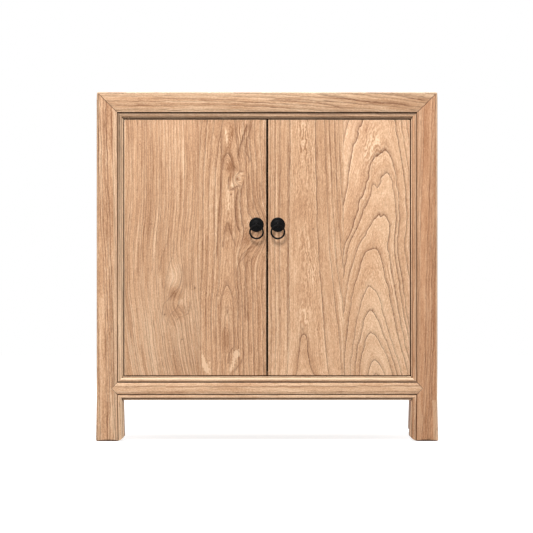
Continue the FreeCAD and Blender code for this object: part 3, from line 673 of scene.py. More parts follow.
@dataclass(frozen=True)
class ElmBoard:
    """One board's cut from the tree.

    Attributes:
        name: Name of its material.
        cut: How the board lies.
        pith: The middle line of the tree along the board, from one end to the other.
        spacing: Usual width of a growth ring in metres.
        rings: Radii of the dark rings in metres where they are known, from the pith out.
        seed: Number that sets this board apart from the others.
        lines: How dark the ring lines are, where 1 is usual.
        wave: How uneven the rings are, where 1 is usual.
        tone: Lighter above 0 and darker below.
        feather: How strong the feathery figure between the rings is.
        streak: How strong the streaks along the grain are.
        warm: Share of a warmer brown.
        knots: Places that push the growth rings out, or draw them in.
        flecks: Small dark marks.
        shades: Wide soft places, lighter above 0 and darker below.
        plumes: Places with a stronger feathery figure.
        flakes: Ragged pale places.
        traces: Single dark grain lines.
        farthest: Radius up to which rings are counted.
        leap: Rings from one point of the count to the next, where they aren't known.
        uneven: How much the widths of the rings vary.
    """

    name: str
    cut: Cut
    pith: tuple[Pith, ...]
    spacing: float = 0.009
    rings: tuple[float, ...] = ()
    seed: float = 0.0
    lines: float = 1.0
    wave: float = 1.0
    tone: float = 0.0
    feather: float = 1.0
    streak: float = 1.0
    warm: float = 0.0
    knots: tuple[Mark, ...] = ()
    flecks: tuple[Mark, ...] = ()
    shades: tuple[Mark, ...] = ()
    plumes: tuple[Mark, ...] = ()
    flakes: tuple[Mark, ...] = ()
    traces: tuple[Trace, ...] = ()
    farthest: float = 0.45
    leap: int = 3
    uneven: float = 1.5

    def turns(self, radius: Wire) -> Source:
        """How many rings lie between the pith and a place.

        Args:
            radius: Distance from the pith.

        Returns:
            The count, whole numbers at the dark lines.
        """
        if self.rings:
            radii = [0.0, *self.rings]
            counts = [float(number) for number in range(len(radii))]
            while radii[-1] < self.farthest:
                radii.append(radii[-1] + self.spacing * self.leap)
                counts.append(counts[-1] + self.leap)
            return curve(radius, radii, counts, "VECTOR")
        steady = radius * (1.0 / self.spacing)
        lot = {"W": steady * 0.43 + self.seed, "Scale": 1.0, "Detail": 1.0}
        return steady + radius.bench.use("TexNoise", lot, noise_dimensions="1D").swing(self.uneven)

    def traced(self, finish: ElmFinish, spot: Wire, place: tuple[Wire, Wire]) -> Source:
        """How dark the single grain lines make a place.

        Args:
            finish: The wood.
            spot: The place as a vector.
            place: Place across and along the board.

        Returns:
            The share of the line's colour.
        """
        if not self.traces:
            return 0.0
        across = place[0] + finish.waver.swing(spot)
        dark = [trace.dark(across, place[1]) for trace in self.traces]
        total = dark[0].at_least(0.0)
        for share in dark[1:]:
            total = total.at_least(share)
        return total

    def ring_count(self, finish: ElmFinish) -> bpy.types.NodeTree:
        """The count of growth rings at any place, as a group that can be asked again.

        Args:
            finish: The wood.

        Returns:
            The node group.
        """
        bench, given = finish.group(f"{self.name}_rings", "Place", "Turns Across Depth Along")
        across, depth, along = self.cut.parts(given["Place"])
        places = [point.along for point in self.pith]
        pith = {
            trait: curve(along, places, [getattr(point, trait) for point in self.pith])
            for trait in ("across", "depth", "left", "right")
        }
        beside = across - pith["across"]
        swell = added((across, along), self.knots)
        shape = {"Across": beside, "Depth": depth - pith["depth"], "Along": along}
        growth = {**shape, "Seed": self.seed, "Swell": swell, "Wave": self.wave}
        growth.update(Left=pith["left"], Right=pith["right"])
        radius = bench.use("Group", growth, "Radius", node_tree=finish.growth())
        shape["Turns"] = self.turns(radius)
        if self.knots:
            # The streaks bend round a knot with the rings, to the side on which they pass it.
            shape["Across"] = beside + beside / (abs(beside) + 10 * MILLIMETRE) * swell
        bench.put("NodeGroupOutput", shape)
        return bench.tree

    def slope(self, finish: ElmFinish, count: bpy.types.Node, spot: Wire) -> Wire:
        """How many rings are crossed in a metre of the surface.

        Args:
            finish: The wood.
            count: The count of rings at the place itself.
            spot: The place.

        Returns:
            The number of rings.
        """
        bench = spot.bench
        normal = bench.use("TexCoord", {}, "Normal")
        aside = bench.place(0.53, 0.27, 0.80)
        squares = []
        for _ in range(2):
            crossed = bench.use("VectorMath", {0: normal, 1: aside}, operation="CROSS_PRODUCT")
            aside = bench.use("VectorMath", {0: crossed}, operation="NORMALIZE")
            reach = bench.use("VectorMath", {0: aside, "Scale": finish.probe}, operation="SCALE")
            moved = bench.use("VectorMath", {0: spot, 1: reach}, operation="ADD")
            second = bench.use("Group", {"Place": moved}, "Turns", node_tree=count.node_tree)
            risen = (second - bench.wires(count)["Turns"]) * (1.0 / finish.probe)
            squares.append(risen * risen)
        steep = bench.math("SQRT", squares[0] + squares[1])
        return steep.at_least(1.0 / finish.widest_ring)

    def material(self, finish: ElmFinish) -> bpy.types.Material:
        """The board's material.

        Args:
            finish: Colours and sheen.

        Returns:
            The material, made once for each board.
        """
        known = bpy.data.materials.get(self.name)
        if known:
            return known
        made = bpy.data.materials.new(self.name)
        bench = emptied(made)
        spot = bench.use("TexCoord", {}, "Object")
        across, _, along = self.cut.parts(spot)
        place = (across, along)
        count = bench.put("Group", {"Place": spot}, node_tree=self.ring_count(finish))
        look = {
            "Slope": self.slope(finish, count, spot),
            "Pitch": self.spacing,
            "Seed": self.seed,
            "Lines": self.lines,
            "Tone": added(place, self.shades, self.tone),
            "Feather": added(place, self.plumes, self.feather),
            "Streak": self.streak,
            "Warm": self.warm,
            "Traced": self.traced(finish, spot, place),
        }
        look.update(bench.wires(count))
        figure = bench.wires(bench.put("Group", look, node_tree=finish.figure()))
        flaked: Source = 0.0
        if self.flakes:
            ragged = finish.ragged.swing(spot)
            flaked = (added(place, self.flakes) + ragged).between(0.50, 0.60)
        self.dress(finish, figure, added(place, self.flecks), flaked)
        return made

    def dress(
        self, finish: ElmFinish, figure: dict[str, Wire], marked: Source, flaked: Source
    ) -> None:
        """The shader, with rubbed edges, painted highlights, dirt and painted shade in the
        grooves.

        Args:
            finish: Colours and sheen.
            figure: The wood's figure.
            marked: Share of the dark marks.
            flaked: Share of the pale flakes.
        """
        bench = figure["Colour"].bench
        # Above 0 the face attribute paints rubbed edges and painted highlights; below 0 dirt and
        # painted shade; below -1 painted black shade.
        wear = bench.use("Attribute", {}, "Fac", attribute_name=WEAR_AND_LIGHT)
        grime_and_shade_share = wear.between(0.0, -1.0, False)
        colour = bench.blend(flaked * finish.flake_cover, figure["Colour"], finish.pale)
        colour = bench.blend(marked * finish.fleck_cover, colour, finish.line)
        colour = bench.blend(wear.between(0.0, 1.0, False), colour, finish.bare_and_lit)
        colour = bench.blend(grime_and_shade_share * finish.grime_and_shade_cover, colour, finish.grime_and_shade)
        colour = bench.blend(wear.between(-1.0, -2.0, False), colour, finish.black_shade)
        polished = figure["Gloss"] * -finish.polish
        surface = {
            "Base Color": colour,
            "Roughness": finish.roughness + polished + grime_and_shade_share * finish.dull,
            "IOR": finish.ior,
            "Specular IOR Level": finish.specular,
            "Normal": bench.bump(figure["Height"], finish.relief),
        }
        bench.put("OutputMaterial", {0: bench.use("BsdfPrincipled", surface)})


@dataclass(frozen=True)
class BlackIron:
    """Blackened forged iron with a low sheen and small dents.

    Attributes:
        name: Name of its material.
        dark: The black.
        worn: The black where it is worn.
        roughness: Roughness of the surface.
        metallic: Share of bare metal in its sheen.
        specular: How strongly it mirrors.
        relief: Depth of the dents.
    """

    name: str = "blackened_iron"
    dark: Colour = linear(4, 4, 5)
    worn: Colour = linear(28, 27, 26)
    roughness: float = 0.50
    metallic: float = 0.55
    specular: float = 0.20
    relief: float = 0.20 * MILLIMETRE

    def material(self) -> bpy.types.Material:
        """The material, made once.

        Returns:
            The material.
        """
        known = bpy.data.materials.get(self.name)
        if known:
            return known
        made = bpy.data.materials.new(self.name)
        bench = emptied(made)
        spot = bench.use("TexCoord", {}, "Object")
        dents = Noise(380.0, 380.0).at(spot)
        scale = Noise(1500.0, 1500.0, 1.0).at(spot)
        worn = (dents * 0.6 + scale * 0.4).between(0.5, 0.74)
        surface = {
            "Base Color": bench.blend(worn, self.dark, self.worn),
            "Roughness": self.roughness + dents.swing(0.25),
            "Metallic": self.metallic,
            "Specular IOR Level": self.specular,
            "Normal": bench.bump(dents + scale * 0.12, self.relief),
        }
        bench.put("OutputMaterial", {0: bench.use("BsdfPrincipled", surface)})
        return made


def only(piece: bpy.types.Object) -> None:
    """Selects one object alone and makes it active.

    Args:
        piece: The object.
    """
    if bpy.context.mode != "OBJECT":
        bpy.ops.object.mode_set(mode="OBJECT")
    bpy.ops.object.select_all(action="DESELECT")
    bpy.context.view_layer.objects.active = piece
    piece.select_set(True)


def opened() -> None:
    """Opens the active object for editing, with all of it selected."""
    bpy.ops.object.mode_set(mode="EDIT")
    bpy.ops.mesh.select_all(action="SELECT")


@dataclass(frozen=True)
class Section:
    """One place along a bent bar, in metres.

    Attributes:
        place: Middle of the bar.
        lean: Angle of its thickness from the depth of the cabinet towards the top.
        thickness: Its thickness here.
    """

    place: Vector
    lean: float
    thickness: float


@dataclass(frozen=True)
class Forge:
    """Works iron as a smith does: plates drawn out from the middle, bars and rings bent.

    Attributes:
        sides: Sides of a plate or ring.
        bar_sides: Sides of a ring's bar.
        mark: Size of a hammer mark.
        mark_depth: Depth of a hammer mark on a plate.
        bar_mark_depth: Depth of a hammer mark on a bar.
        buckle: Size of the slow unevenness of a bent bar.
        buckle_depth: How thin the bar gets there.
        edge: Roundness of a flat bar's edges.
        turn: Smallest turn that is an edge and isn't shaded as a curve.
        weld: Distance below which two points become one.
    """

    sides: int = 72
    bar_sides: int = 18
    mark: float = 4.5 * MILLIMETRE
    mark_depth: float = 0.25 * MILLIMETRE
    bar_mark_depth: float = 0.125 * MILLIMETRE
    buckle: float = 12.0 * MILLIMETRE
    buckle_depth: float = 0.12 * MILLIMETRE
    edge: float = 0.5 * MILLIMETRE
    turn: float = math.radians(40)
    weld: float = 0.01 * MILLIMETRE

    def start(self, name: str) -> bpy.types.Object:
        """Names the primitive just added and opens it with all of it selected.

        Args:
            name: Its name.

        Returns:
            The piece.
        """
        piece = bpy.context.active_object
        piece.name = name
        piece.data.name = name
        bpy.ops.object.transform_apply(location=True, rotation=True, scale=True)
        opened()
        return piece

    def plate(
        self, name: str, centre: Vector, profile: list[tuple[float, float]]
    ) -> bpy.types.Object:
        """A round piece that looks to the front, drawn ring by ring round its profile.

        Args:
            name: Its name.
            centre: Middle of its back.
            profile: Radius and height of each ring, all the way round.

        Returns:
            The plate.
        """
        bpy.ops.object.select_all(action="DESELECT")
        radius, height = profile[0]
        upright = (math.pi / 2, 0.0, 0.0)
        place = centre - Vector((0.0, height, 0.0))
        bpy.ops.mesh.primitive_circle_add(
            vertices=self.sides, radius=radius, location=place, rotation=upright
        )
        piece = self.start(name)
        for wide, high in profile[1:] + profile[:1]:
            step = {"value": (0.0, height - high, 0.0)}
            bpy.ops.mesh.extrude_region_move(TRANSFORM_OT_translate=step)
            scale = wide / radius
            bpy.ops.transform.resize(value=(scale, 1.0, scale), center_override=centre)
            radius, height = wide, high
        self.hammer(piece, self.mark, self.mark_depth)
        return piece

    def ring(self, name: str, low: Vector, high: Vector) -> bpy.types.Object:
        """A ring bent from a round bar, which looks to the front.

        Args:
            name: Its name.
            low: Lowest corner of the room it fills.
            high: Highest corner.

        Returns:
            The ring.
        """
        bpy.ops.object.select_all(action="DESELECT")
        bar = (high.y - low.y) / 2
        bpy.ops.mesh.primitive_torus_add(
            major_radius=(high.x - low.x) / 2 - bar,
            minor_radius=bar,
            major_segments=self.sides,
            minor_segments=self.bar_sides,
            location=(low + high) / 2,
            rotation=(math.pi / 2, 0.0, 0.0),
        )
        piece = self.start(name)
        self.hammer(piece, self.buckle, self.buckle_depth)
        self.hammer(piece, self.mark, self.bar_mark_depth)
        return piece

    def bar(self, name: str, width: float, sections: list[Section]) -> bpy.types.Object:
        """A flat bar bent through its sections.

        Args:
            name: Its name.
            width: Its width, from left to right.
            sections: Its sections from one end to the other.

        Returns:
            The bar.
        """
        bpy.ops.object.select_all(action="DESELECT")
        last = sections[0]
        bpy.ops.mesh.primitive_plane_add(size=1.0)
        plane = bpy.context.active_object
        plane.scale = (width, last.thickness, 1.0)
        plane.rotation_euler = (last.lean, 0.0, 0.0)
        plane.location = last.place
        piece = self.start(name)
        for section in sections[1:]:
            here = section.place
            step = {"value": here - last.place}
            bpy.ops.mesh.extrude_region_move(TRANSFORM_OT_translate=step)
            lean = last.lean - section.lean
            bpy.ops.transform.rotate(value=lean, orient_axis="X", center_override=here)
            scale = section.thickness / last.thickness
            bpy.ops.transform.resize(value=(1.0, scale, scale), center_override=here)
            last = section
        only(piece)
        rounded = piece.modifiers.new("edges", "BEVEL")
        rounded.width = self.edge
        rounded.segments = 2
        rounded.limit_method = "ANGLE"
        rounded.angle_limit = self.turn
        bpy.ops.object.modifier_apply(modifier="edges")
        self.hammer(piece, self.mark, self.bar_mark_depth)
        return piece

    def hammer(self, piece: bpy.types.Object, size: float, depth: float) -> None:
        """Closes a piece, turns its faces outward and gives it hammer marks, all inward.

        Args:
            piece: The piece.
            size: Size of a mark.
            depth: Depth of a mark.
        """
        only(piece)
        opened()
        bpy.ops.mesh.remove_doubles(threshold=self.weld)
        bpy.ops.mesh.normals_make_consistent(inside=False)
        bpy.ops.object.mode_set(mode="OBJECT")
        clouds = bpy.data.textures.new(f"{piece.name}_marks", "CLOUDS")
        clouds.noise_scale = size
        clouds.noise_depth = 1
        dents = piece.modifiers.new("dents", "DISPLACE")
        dents.texture = clouds
        dents.texture_coords = "LOCAL"
        dents.strength = depth
        dents.mid_level = 1.0
        bpy.ops.object.modifier_apply(modifier="dents")
        bpy.ops.object.shade_smooth_by_angle(angle=self.turn)


@dataclass(frozen=True)
class Workshop:
    """Takes copies of the frame's solids and finishes their edges by hand.

    Attributes:
        arris: Width of an eased edge.
        arris_steps: Number of facets on an eased edge.
        sharp: Smallest turn at an edge that gets eased.
        shortest: Shortest edge that gets eased.
        smooth: Largest turn that is shaded as a curve.
        weld: Distance below which two points become one.
        level: Largest turn between two faces that become one.
    """

    arris: float = 0.6 * MILLIMETRE
    arris_steps: int = 2
    sharp: float = math.radians(24)
    shortest: float = 3.0 * MILLIMETRE
    smooth: float = math.radians(22)
    weld: float = 0.002 * MILLIMETRE
    level: float = math.radians(0.4)

    def copy_of(
        self, node: str, name: str, chosen: Optional[Chooser] = None
    ) -> bpy.types.Object:
        """A merged copy of a node, or of the solids in it that are chosen.

        Args:
            node: The node.
            name: Name of the copy.
            chosen: Says of a face's middle whether it belongs to the copy.

        Returns:
            The copy, not yet linked to a body.
        """
        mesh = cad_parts[node].data.copy()
        mesh.name = name
        mesh.materials.clear()
        piece = bpy.data.objects.new(name, mesh)
        bpy.context.scene.collection.objects.link(piece)
        form = bmesh.new()
        form.from_mesh(mesh)
        if chosen:
            others = [face for face in form.faces if not chosen(face.calc_center_median())]
            bmesh.ops.delete(form, geom=others, context="FACES")
        form.to_mesh(mesh)
        form.free()
        only(piece)
        opened()
        bpy.ops.mesh.remove_doubles(threshold=self.weld)
        bpy.ops.mesh.dissolve_limited(angle_limit=self.level)
        bpy.ops.object.mode_set(mode="OBJECT")
        return piece

    def ease(self, piece: bpy.types.Object, arris: Optional[float] = None) -> None:
        """Eases the long sharp edges of a piece and shades its curves.

        Args:
            piece: The piece.
            arris: Width of the eased edge, if it isn't the usual one.
        """
        form = bmesh.new()
        form.from_mesh(piece.data)
        weight = form.edges.layers.float.new("bevel_weight_edge")
        for edge in form.edges:
            turned = len(edge.link_faces) == 2 and edge.calc_face_angle(0.0) > self.sharp
            if turned and edge.calc_length() > self.shortest:
                edge[weight] = 1.0
        form.to_mesh(piece.data)
        form.free()
        bevel = piece.modifiers.new("arris", "BEVEL")
        bevel.limit_method = "WEIGHT"
        bevel.width = arris or self.arris
        bevel.segments = self.arris_steps
        bevel.use_clamp_overlap = False
        bevel.loop_slide = True
        only(piece)
        bpy.ops.object.modifier_apply(modifier="arris")
        bpy.ops.object.shade_smooth_by_angle(angle=self.smooth)

    def mount(
        self,
        piece: bpy.types.Object,
        body: str,
        slot: str,
        material: bpy.types.Material,
        node: str,
    ) -> None:
        """Dresses a piece and puts it on its body in place of its node.

        Args:
            piece: The piece.
            body: The body that it moves with.
            slot: The record's material slot; not used.
            material: Its material.
            node: The node that it stands for, alone or with others.
        """
        piece.data.materials.clear()
        piece.data.materials.append(material)
        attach(piece, body)
        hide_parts(node)
        log.info("%s: %d faces on %s", piece.name, len(piece.data.polygons), body)


@dataclass(frozen=True)
class PatinaAndPaintedLight:
    """Paints the wood's dirt and rubbing together with painted light: painted shade in hollows, on
    downward facets and in the gap between the doors, and painted highlights on upward and side
    facets.

    Attributes:
        reach: How far away a neighbour still blocks a look, for the dirt and painted shade in
            hollows.
        lift: Start of a look, above the face.
        slopes: Angles from the face's normal in which it looks round.
        looks: Looks at each of those angles.
        open_share: Share of blocked looks at which the face stays clean and unshaded.
        shut_share: Share of blocked looks at which dirt and painted shade fill the place.
        black_share: Share of blocked looks at which painted black shade makes it all black.
        broad: Width from which a face isn't part of a moulding.
        broad_grime_and_shade: Most dirt and painted shade on a broad face.
        arris: Widest face that counts as an eased edge.
        rubbed: Wear on an eased edge.
        crest: Wear on the facets of a moulding.
        level_groove_shade: How much more a look up or down counts, which paints level grooves
            darker than upright ones, as light from above doesn't reach into them.
        upper: How much lighter a facet that looks up is painted, and one that looks down darker,
            as light falls from above.
        upper_height: How many times that at the floor, and how much less at the top.
        rightward: How much lighter a facet that looks to the right is painted, as the lamp light
            comes from that side.
        corner: Place from which a corner of the cabinet starts.
        left_half: How many times that on the left half, for its facets to both sides, away
        from the corner, which paints them lighter as that half gets less light.
        flank_shade: Painted shade on the steep flanks of a moulding that don't look up.
        flank_start: How far a facet still looks to the front where it becomes such a flank.
        side_flank: How much less of it there is on a flank of an upright moulding.
        frontal: How far a facet looks to the front from which it is a flat.
        ledge: Widest flat beside a moulding that is painted lighter.
        ledge_share: Share of blocked looks from which such a flat is beside a moulding.
        ledge_lightening: How much lighter it is painted.
        upright: How much less dirt and painted shade an upright groove gets, as light from above
            reaches into it.
        upright_turn: How fast a facet that turns to the side comes to belong to such a groove.
        lowest: How much less dirt and painted shade the lowest groove gets than the highest.
        meeting_shade: Painted shade on the edges where the two doors meet, for the dark gap
            between them.
        meeting_shade_place: Farthest place of those edges from the cabinet's middle.
        meeting_shade_turn: How far they look to the side.
        low_slopes: Angles of the looks that find a joint right beside an eased edge.
        low_reach: How far those looks go.
        joint_share: Share of blocked low looks that means a joint.
        joint: Dirt in the joints of the frame, and the painted shade on an edge over a high level
            groove.
        framed: How the names of the frame's pieces start.
    """

    reach: float = 6.0 * MILLIMETRE
    lift: float = 0.05 * MILLIMETRE
    slopes: tuple[float, ...] = (math.radians(22), math.radians(48), math.radians(70))
    looks: int = 8
    open_share: float = 0.30
    shut_share: float = 0.76
    black_share: float = 0.86
    broad: float = 7.0 * MILLIMETRE
    broad_grime_and_shade: float = 0.85
    arris: float = 0.8 * MILLIMETRE
    rubbed: float = 0.18
    crest: float = 0.12
    level_groove_shade: float = 3.0
    upper: float = 0.85
    upper_height: tuple[float, float] = (1.45, 1.35)
    rightward: float = 0.32
    corner: float = 400.0 * MILLIMETRE
    left_half: float = 1.8
    flank_shade: float = 0.9
    flank_start: float = 0.7
    side_flank: float = 0.7
    frontal: float = 0.995
    ledge: float = 2.5 * MILLIMETRE
    ledge_share: float = 0.15
    ledge_lightening: float = 0.30
    upright: float = 0.60
    upright_turn: float = 1.4
    lowest: float = 0.45
    meeting_shade: float = 0.45
    meeting_shade_place: float = 4.0 * MILLIMETRE
    meeting_shade_turn: float = 0.6
    low_slopes: tuple[float, ...] = (math.radians(80), math.radians(86))
    low_reach: float = 1.0 * MILLIMETRE
    joint_share: float = 0.18
    joint: float = 1.0
    framed: tuple[str, ...] = ("post", "top_rail", "bottom_rail")

    def directions(self, normal: Vector, slopes: tuple[float, ...]) -> list[Vector]:
        """Directions that lie round a normal.

        Args:
            normal: The normal.
            slopes: Their angles from it.

        Returns:
            The directions.
        """
        turn = normal.to_track_quat("Z", "Y")
        found = []
        for slope in slopes:
            for look in range(self.looks):
                angle = math.tau * look / self.looks
                flat = Vector((math.cos(angle), math.sin(angle), 0.0)) * math.sin(slope)
                found.append(turn @ (flat + Vector((0.0, 0.0, math.cos(slope)))))
        return found

    def blocked(
        self,
        tree: BVHTree,
        face: bpy.types.MeshPolygon,
        slopes: tuple[float, ...],
        reach: float,
    ) -> float:
        """The share of looks from a face that meet something near.

        Args:
            tree: The pieces around.
            face: The face.
            slopes: Angles from its normal in which it looks.
            reach: How far it looks.

        Returns:
            The share.
        """
        start = face.center + face.normal * self.lift
        total, met = 0.0, 0.0
        for way in self.directions(face.normal, slopes):
            # Painted shade: looks up and down count more, so level grooves come out darker than
            # upright ones.
            weight = 1.0 + self.level_groove_shade * way.z**2
            total += weight
            if tree.ray_cast(start, way, reach)[0] is not None:
                met += weight
        return met / total

    def wear_of(
        self, share: float, width: float, normal: Vector, lit_side: float, height: float
    ) -> float:
        """The rubbing, dirt and painted light and shade of one face.

        Args:
            share: Share of blocked looks.
            width: Width of the face.
            normal: The face's normal.
            lit_side: How much it looks to the side that gets painted light.
            height: Its height as a share of the cabinet's.

        Returns:
            Below 0 for dirt and painted shade, below -1 for painted black shade, and above 0 for
            rubbing and painted highlights.
        """
        # Painted shade together with dirt: the more looks from a face are blocked, the darker it
        # gets.
        grime_and_shade = (share - self.open_share) / (self.shut_share - self.open_share)
        grime_and_shade = min(1.0, max(0.0, grime_and_shade))
        if width > self.broad:
            return -min(grime_and_shade, self.broad_grime_and_shade)
        if normal.y < -self.frontal:
            # A narrow flat beside a moulding is painted lighter.
            rubbed = self.arris < width < self.ledge and share > self.ledge_share
            return self.ledge_lightening if rubbed else -grime_and_shade
        aside = abs(normal.x)
        if grime_and_shade > 0:
            # Painted black shade fills the deepest hollows.
            black_shade = (share - self.shut_share) / (self.black_share - self.shut_share)
            # Upright grooves and low ones get less painted shade.
            kept = 1.0 - self.upright * min(1.0, self.upright_turn * aside)
            kept *= 1.0 - self.lowest * (1.0 - height)
            return -(grime_and_shade + min(1.0, max(0.0, black_shade))) * kept
        base = self.rubbed if width < self.arris else self.crest
        # Painted light: a facet that looks up is lighter and one that looks down darker, most of
        # all low down.
        rise = self.upper * (self.upper_height[0] - self.upper_height[1] * height)
        # Painted shade on steep flanks that don't look up.
        steep = max(0.0, self.flank_start - abs(normal.y)) / self.flank_start
        steep *= (1.0 - max(0.0, normal.z)) * self.flank_shade * (1.0 - self.side_flank * aside)
        # Painted light on facets that look to the right.
        return base + normal.z * rise + lit_side * self.rightward - steep

    def edge_wear_and_light(
        self, tree: BVHTree, face: bpy.types.MeshPolygon, value: float, height: float
    ) -> float:
        """The rubbing and painted light of an eased edge, which is dark at a joint and gets
        painted shade over a high level groove.

        Args:
            tree: The pieces around.
            face: One facet of the edge.
            value: Its value away from joints and grooves.
            height: Its height as a share of the cabinet's.

        Returns:
            Its value.
        """
        level = abs(face.normal.z) > abs(face.normal.x)
        # A joint right beside the edge makes it dark; over a level groove the edge gets painted
        # shade, the more the higher it lies.
        for reach, grime_and_shade in ((self.low_reach, self.joint), (self.reach, self.joint * height**3)):
            low = self.blocked(tree, face, self.low_slopes, reach)
            if low > self.joint_share and (level or reach == self.low_reach):
                return min(value, -grime_and_shade)
        return value

    def settle(self, pieces: list[bpy.types.Object]) -> None:
        """Writes the rubbing, dirt and painted light and shade of every face of some pieces, as
        they stand with the doors shut.

        Args:
            pieces: The pieces.
        """
        form = bmesh.new()
        for piece in pieces:
            form.from_mesh(piece.data)
        tree = BVHTree.FromBMesh(form)
        form.free()
        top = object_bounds()[1].z
        for piece in pieces:
            mesh = piece.data
            framed = piece.name.startswith(self.framed)
            meets = "meeting_board" in piece.name
            wear = mesh.attributes.new(WEAR_AND_LIGHT, "FLOAT", "FACE")
            for face in mesh.polygons:
                place, normal = face.center, face.normal
                share = self.blocked(tree, face, self.slopes, self.reach)
                corners = [mesh.vertices[index].co for index in face.vertices]
                longest = max((a - b).length for a, b in zip(corners, corners[1:] + corners[:1]))
                width = face.area / longest
                lit_side = normal.x
                # Painted light: on the left half, facets that look either way are painted lighter.
                if -self.corner < place.x < 0:
                    lit_side = abs(lit_side) * self.left_half
                value = self.wear_of(share, width, normal, lit_side, place.z / top)
                if framed and width < self.arris and value > -self.joint:
                    value = self.edge_wear_and_light(tree, face, value, place.z / top)
                # Painted shade on the meeting edges of the doors, for the gap between them.
                at_meeting_gap = abs(place.x) < self.meeting_shade_place and abs(normal.x) > self.meeting_shade_turn
                if meets and at_meeting_gap:
                    value = -self.meeting_shade
                wear.data[face.index].value = value


@dataclass
class Cabinetmaker:
    """Turns wooden nodes into eased and waxed pieces.

    Attributes:
        workshop: Copies, eases and mounts them.
        elm: The wood.
        patina_and_light: Its rubbing, dirt and painted light and shade.
        made: The pieces so far.
    """

    workshop: Workshop = field(default_factory=Workshop)
    elm: ElmFinish = field(default_factory=ElmFinish)
    patina_and_light: PatinaAndPaintedLight = field(default_factory=PatinaAndPaintedLight)
    made: list[bpy.types.Object] = field(default_factory=list)

    def age(self) -> None:
        """Gives all the wood its rubbing, dirt and painted light and shade."""
        self.patina_and_light.settle(self.made)
        log.info("wear on %d wooden pieces", len(self.made))

    def make(
        self,
        node: str,
        body: str,
        slot: str,
        board: ElmBoard,
        chosen: Optional[Chooser] = None,
        suffix: str = "waxed",
    ) -> None:
        """Makes one finished wooden piece.

        Args:
            node: The node that it is made from.
            body: The body that it moves with.
            slot: The record's material slot.
            board: The board that it is cut from.
            chosen: Picks a solid of the node by the middle of a face.
            suffix: Last word of the piece's name.
        """
        piece = self.workshop.copy_of(node, f"{node}_{suffix}", chosen)
        self.workshop.ease(piece)
        self.made.append(piece)
        self.workshop.mount(piece, body, slot, board.material(self.elm), node)


def straight(start: float, end: float, across: float, depth: float) -> tuple[Pith, ...]:
    """A straight pith line beside a board, from its first place along it to its last."""
    return (Pith(start, across, depth), Pith(end, across, depth))


def inner_board(cut: Cut) -> ElmBoard:
    """The plain board of the battens and bearers.

    Args:
        cut: How the piece lies.

    Returns:
        The board.
    """
    pith = straight(-0.5, 0.9, 0.35, -0.42)
    name = f"elm_inner_{cut.name.lower()}"
    return ElmBoard(name, cut, pith, 0.008, seed=77.0, lines=0.6, tone=-0.15)


TOP_RAIL_TRACES = (
    Trace(1.0, (110, 865.0, 206, 849.9, 268, 841.4, 312, 839.4, 372, 827.0)),
    Trace(0.95, (240, 868.0, 330, 858.0, 372, 849.9, 405, 846.4)),
    Trace(0.8, (-10, 846.0, 81, 843.7, 131, 839.4, 181, 829.0, 206, 821.6)),
    Trace(0.55, (-300, 852.0, -180, 850.0, -60, 847.0)),
)


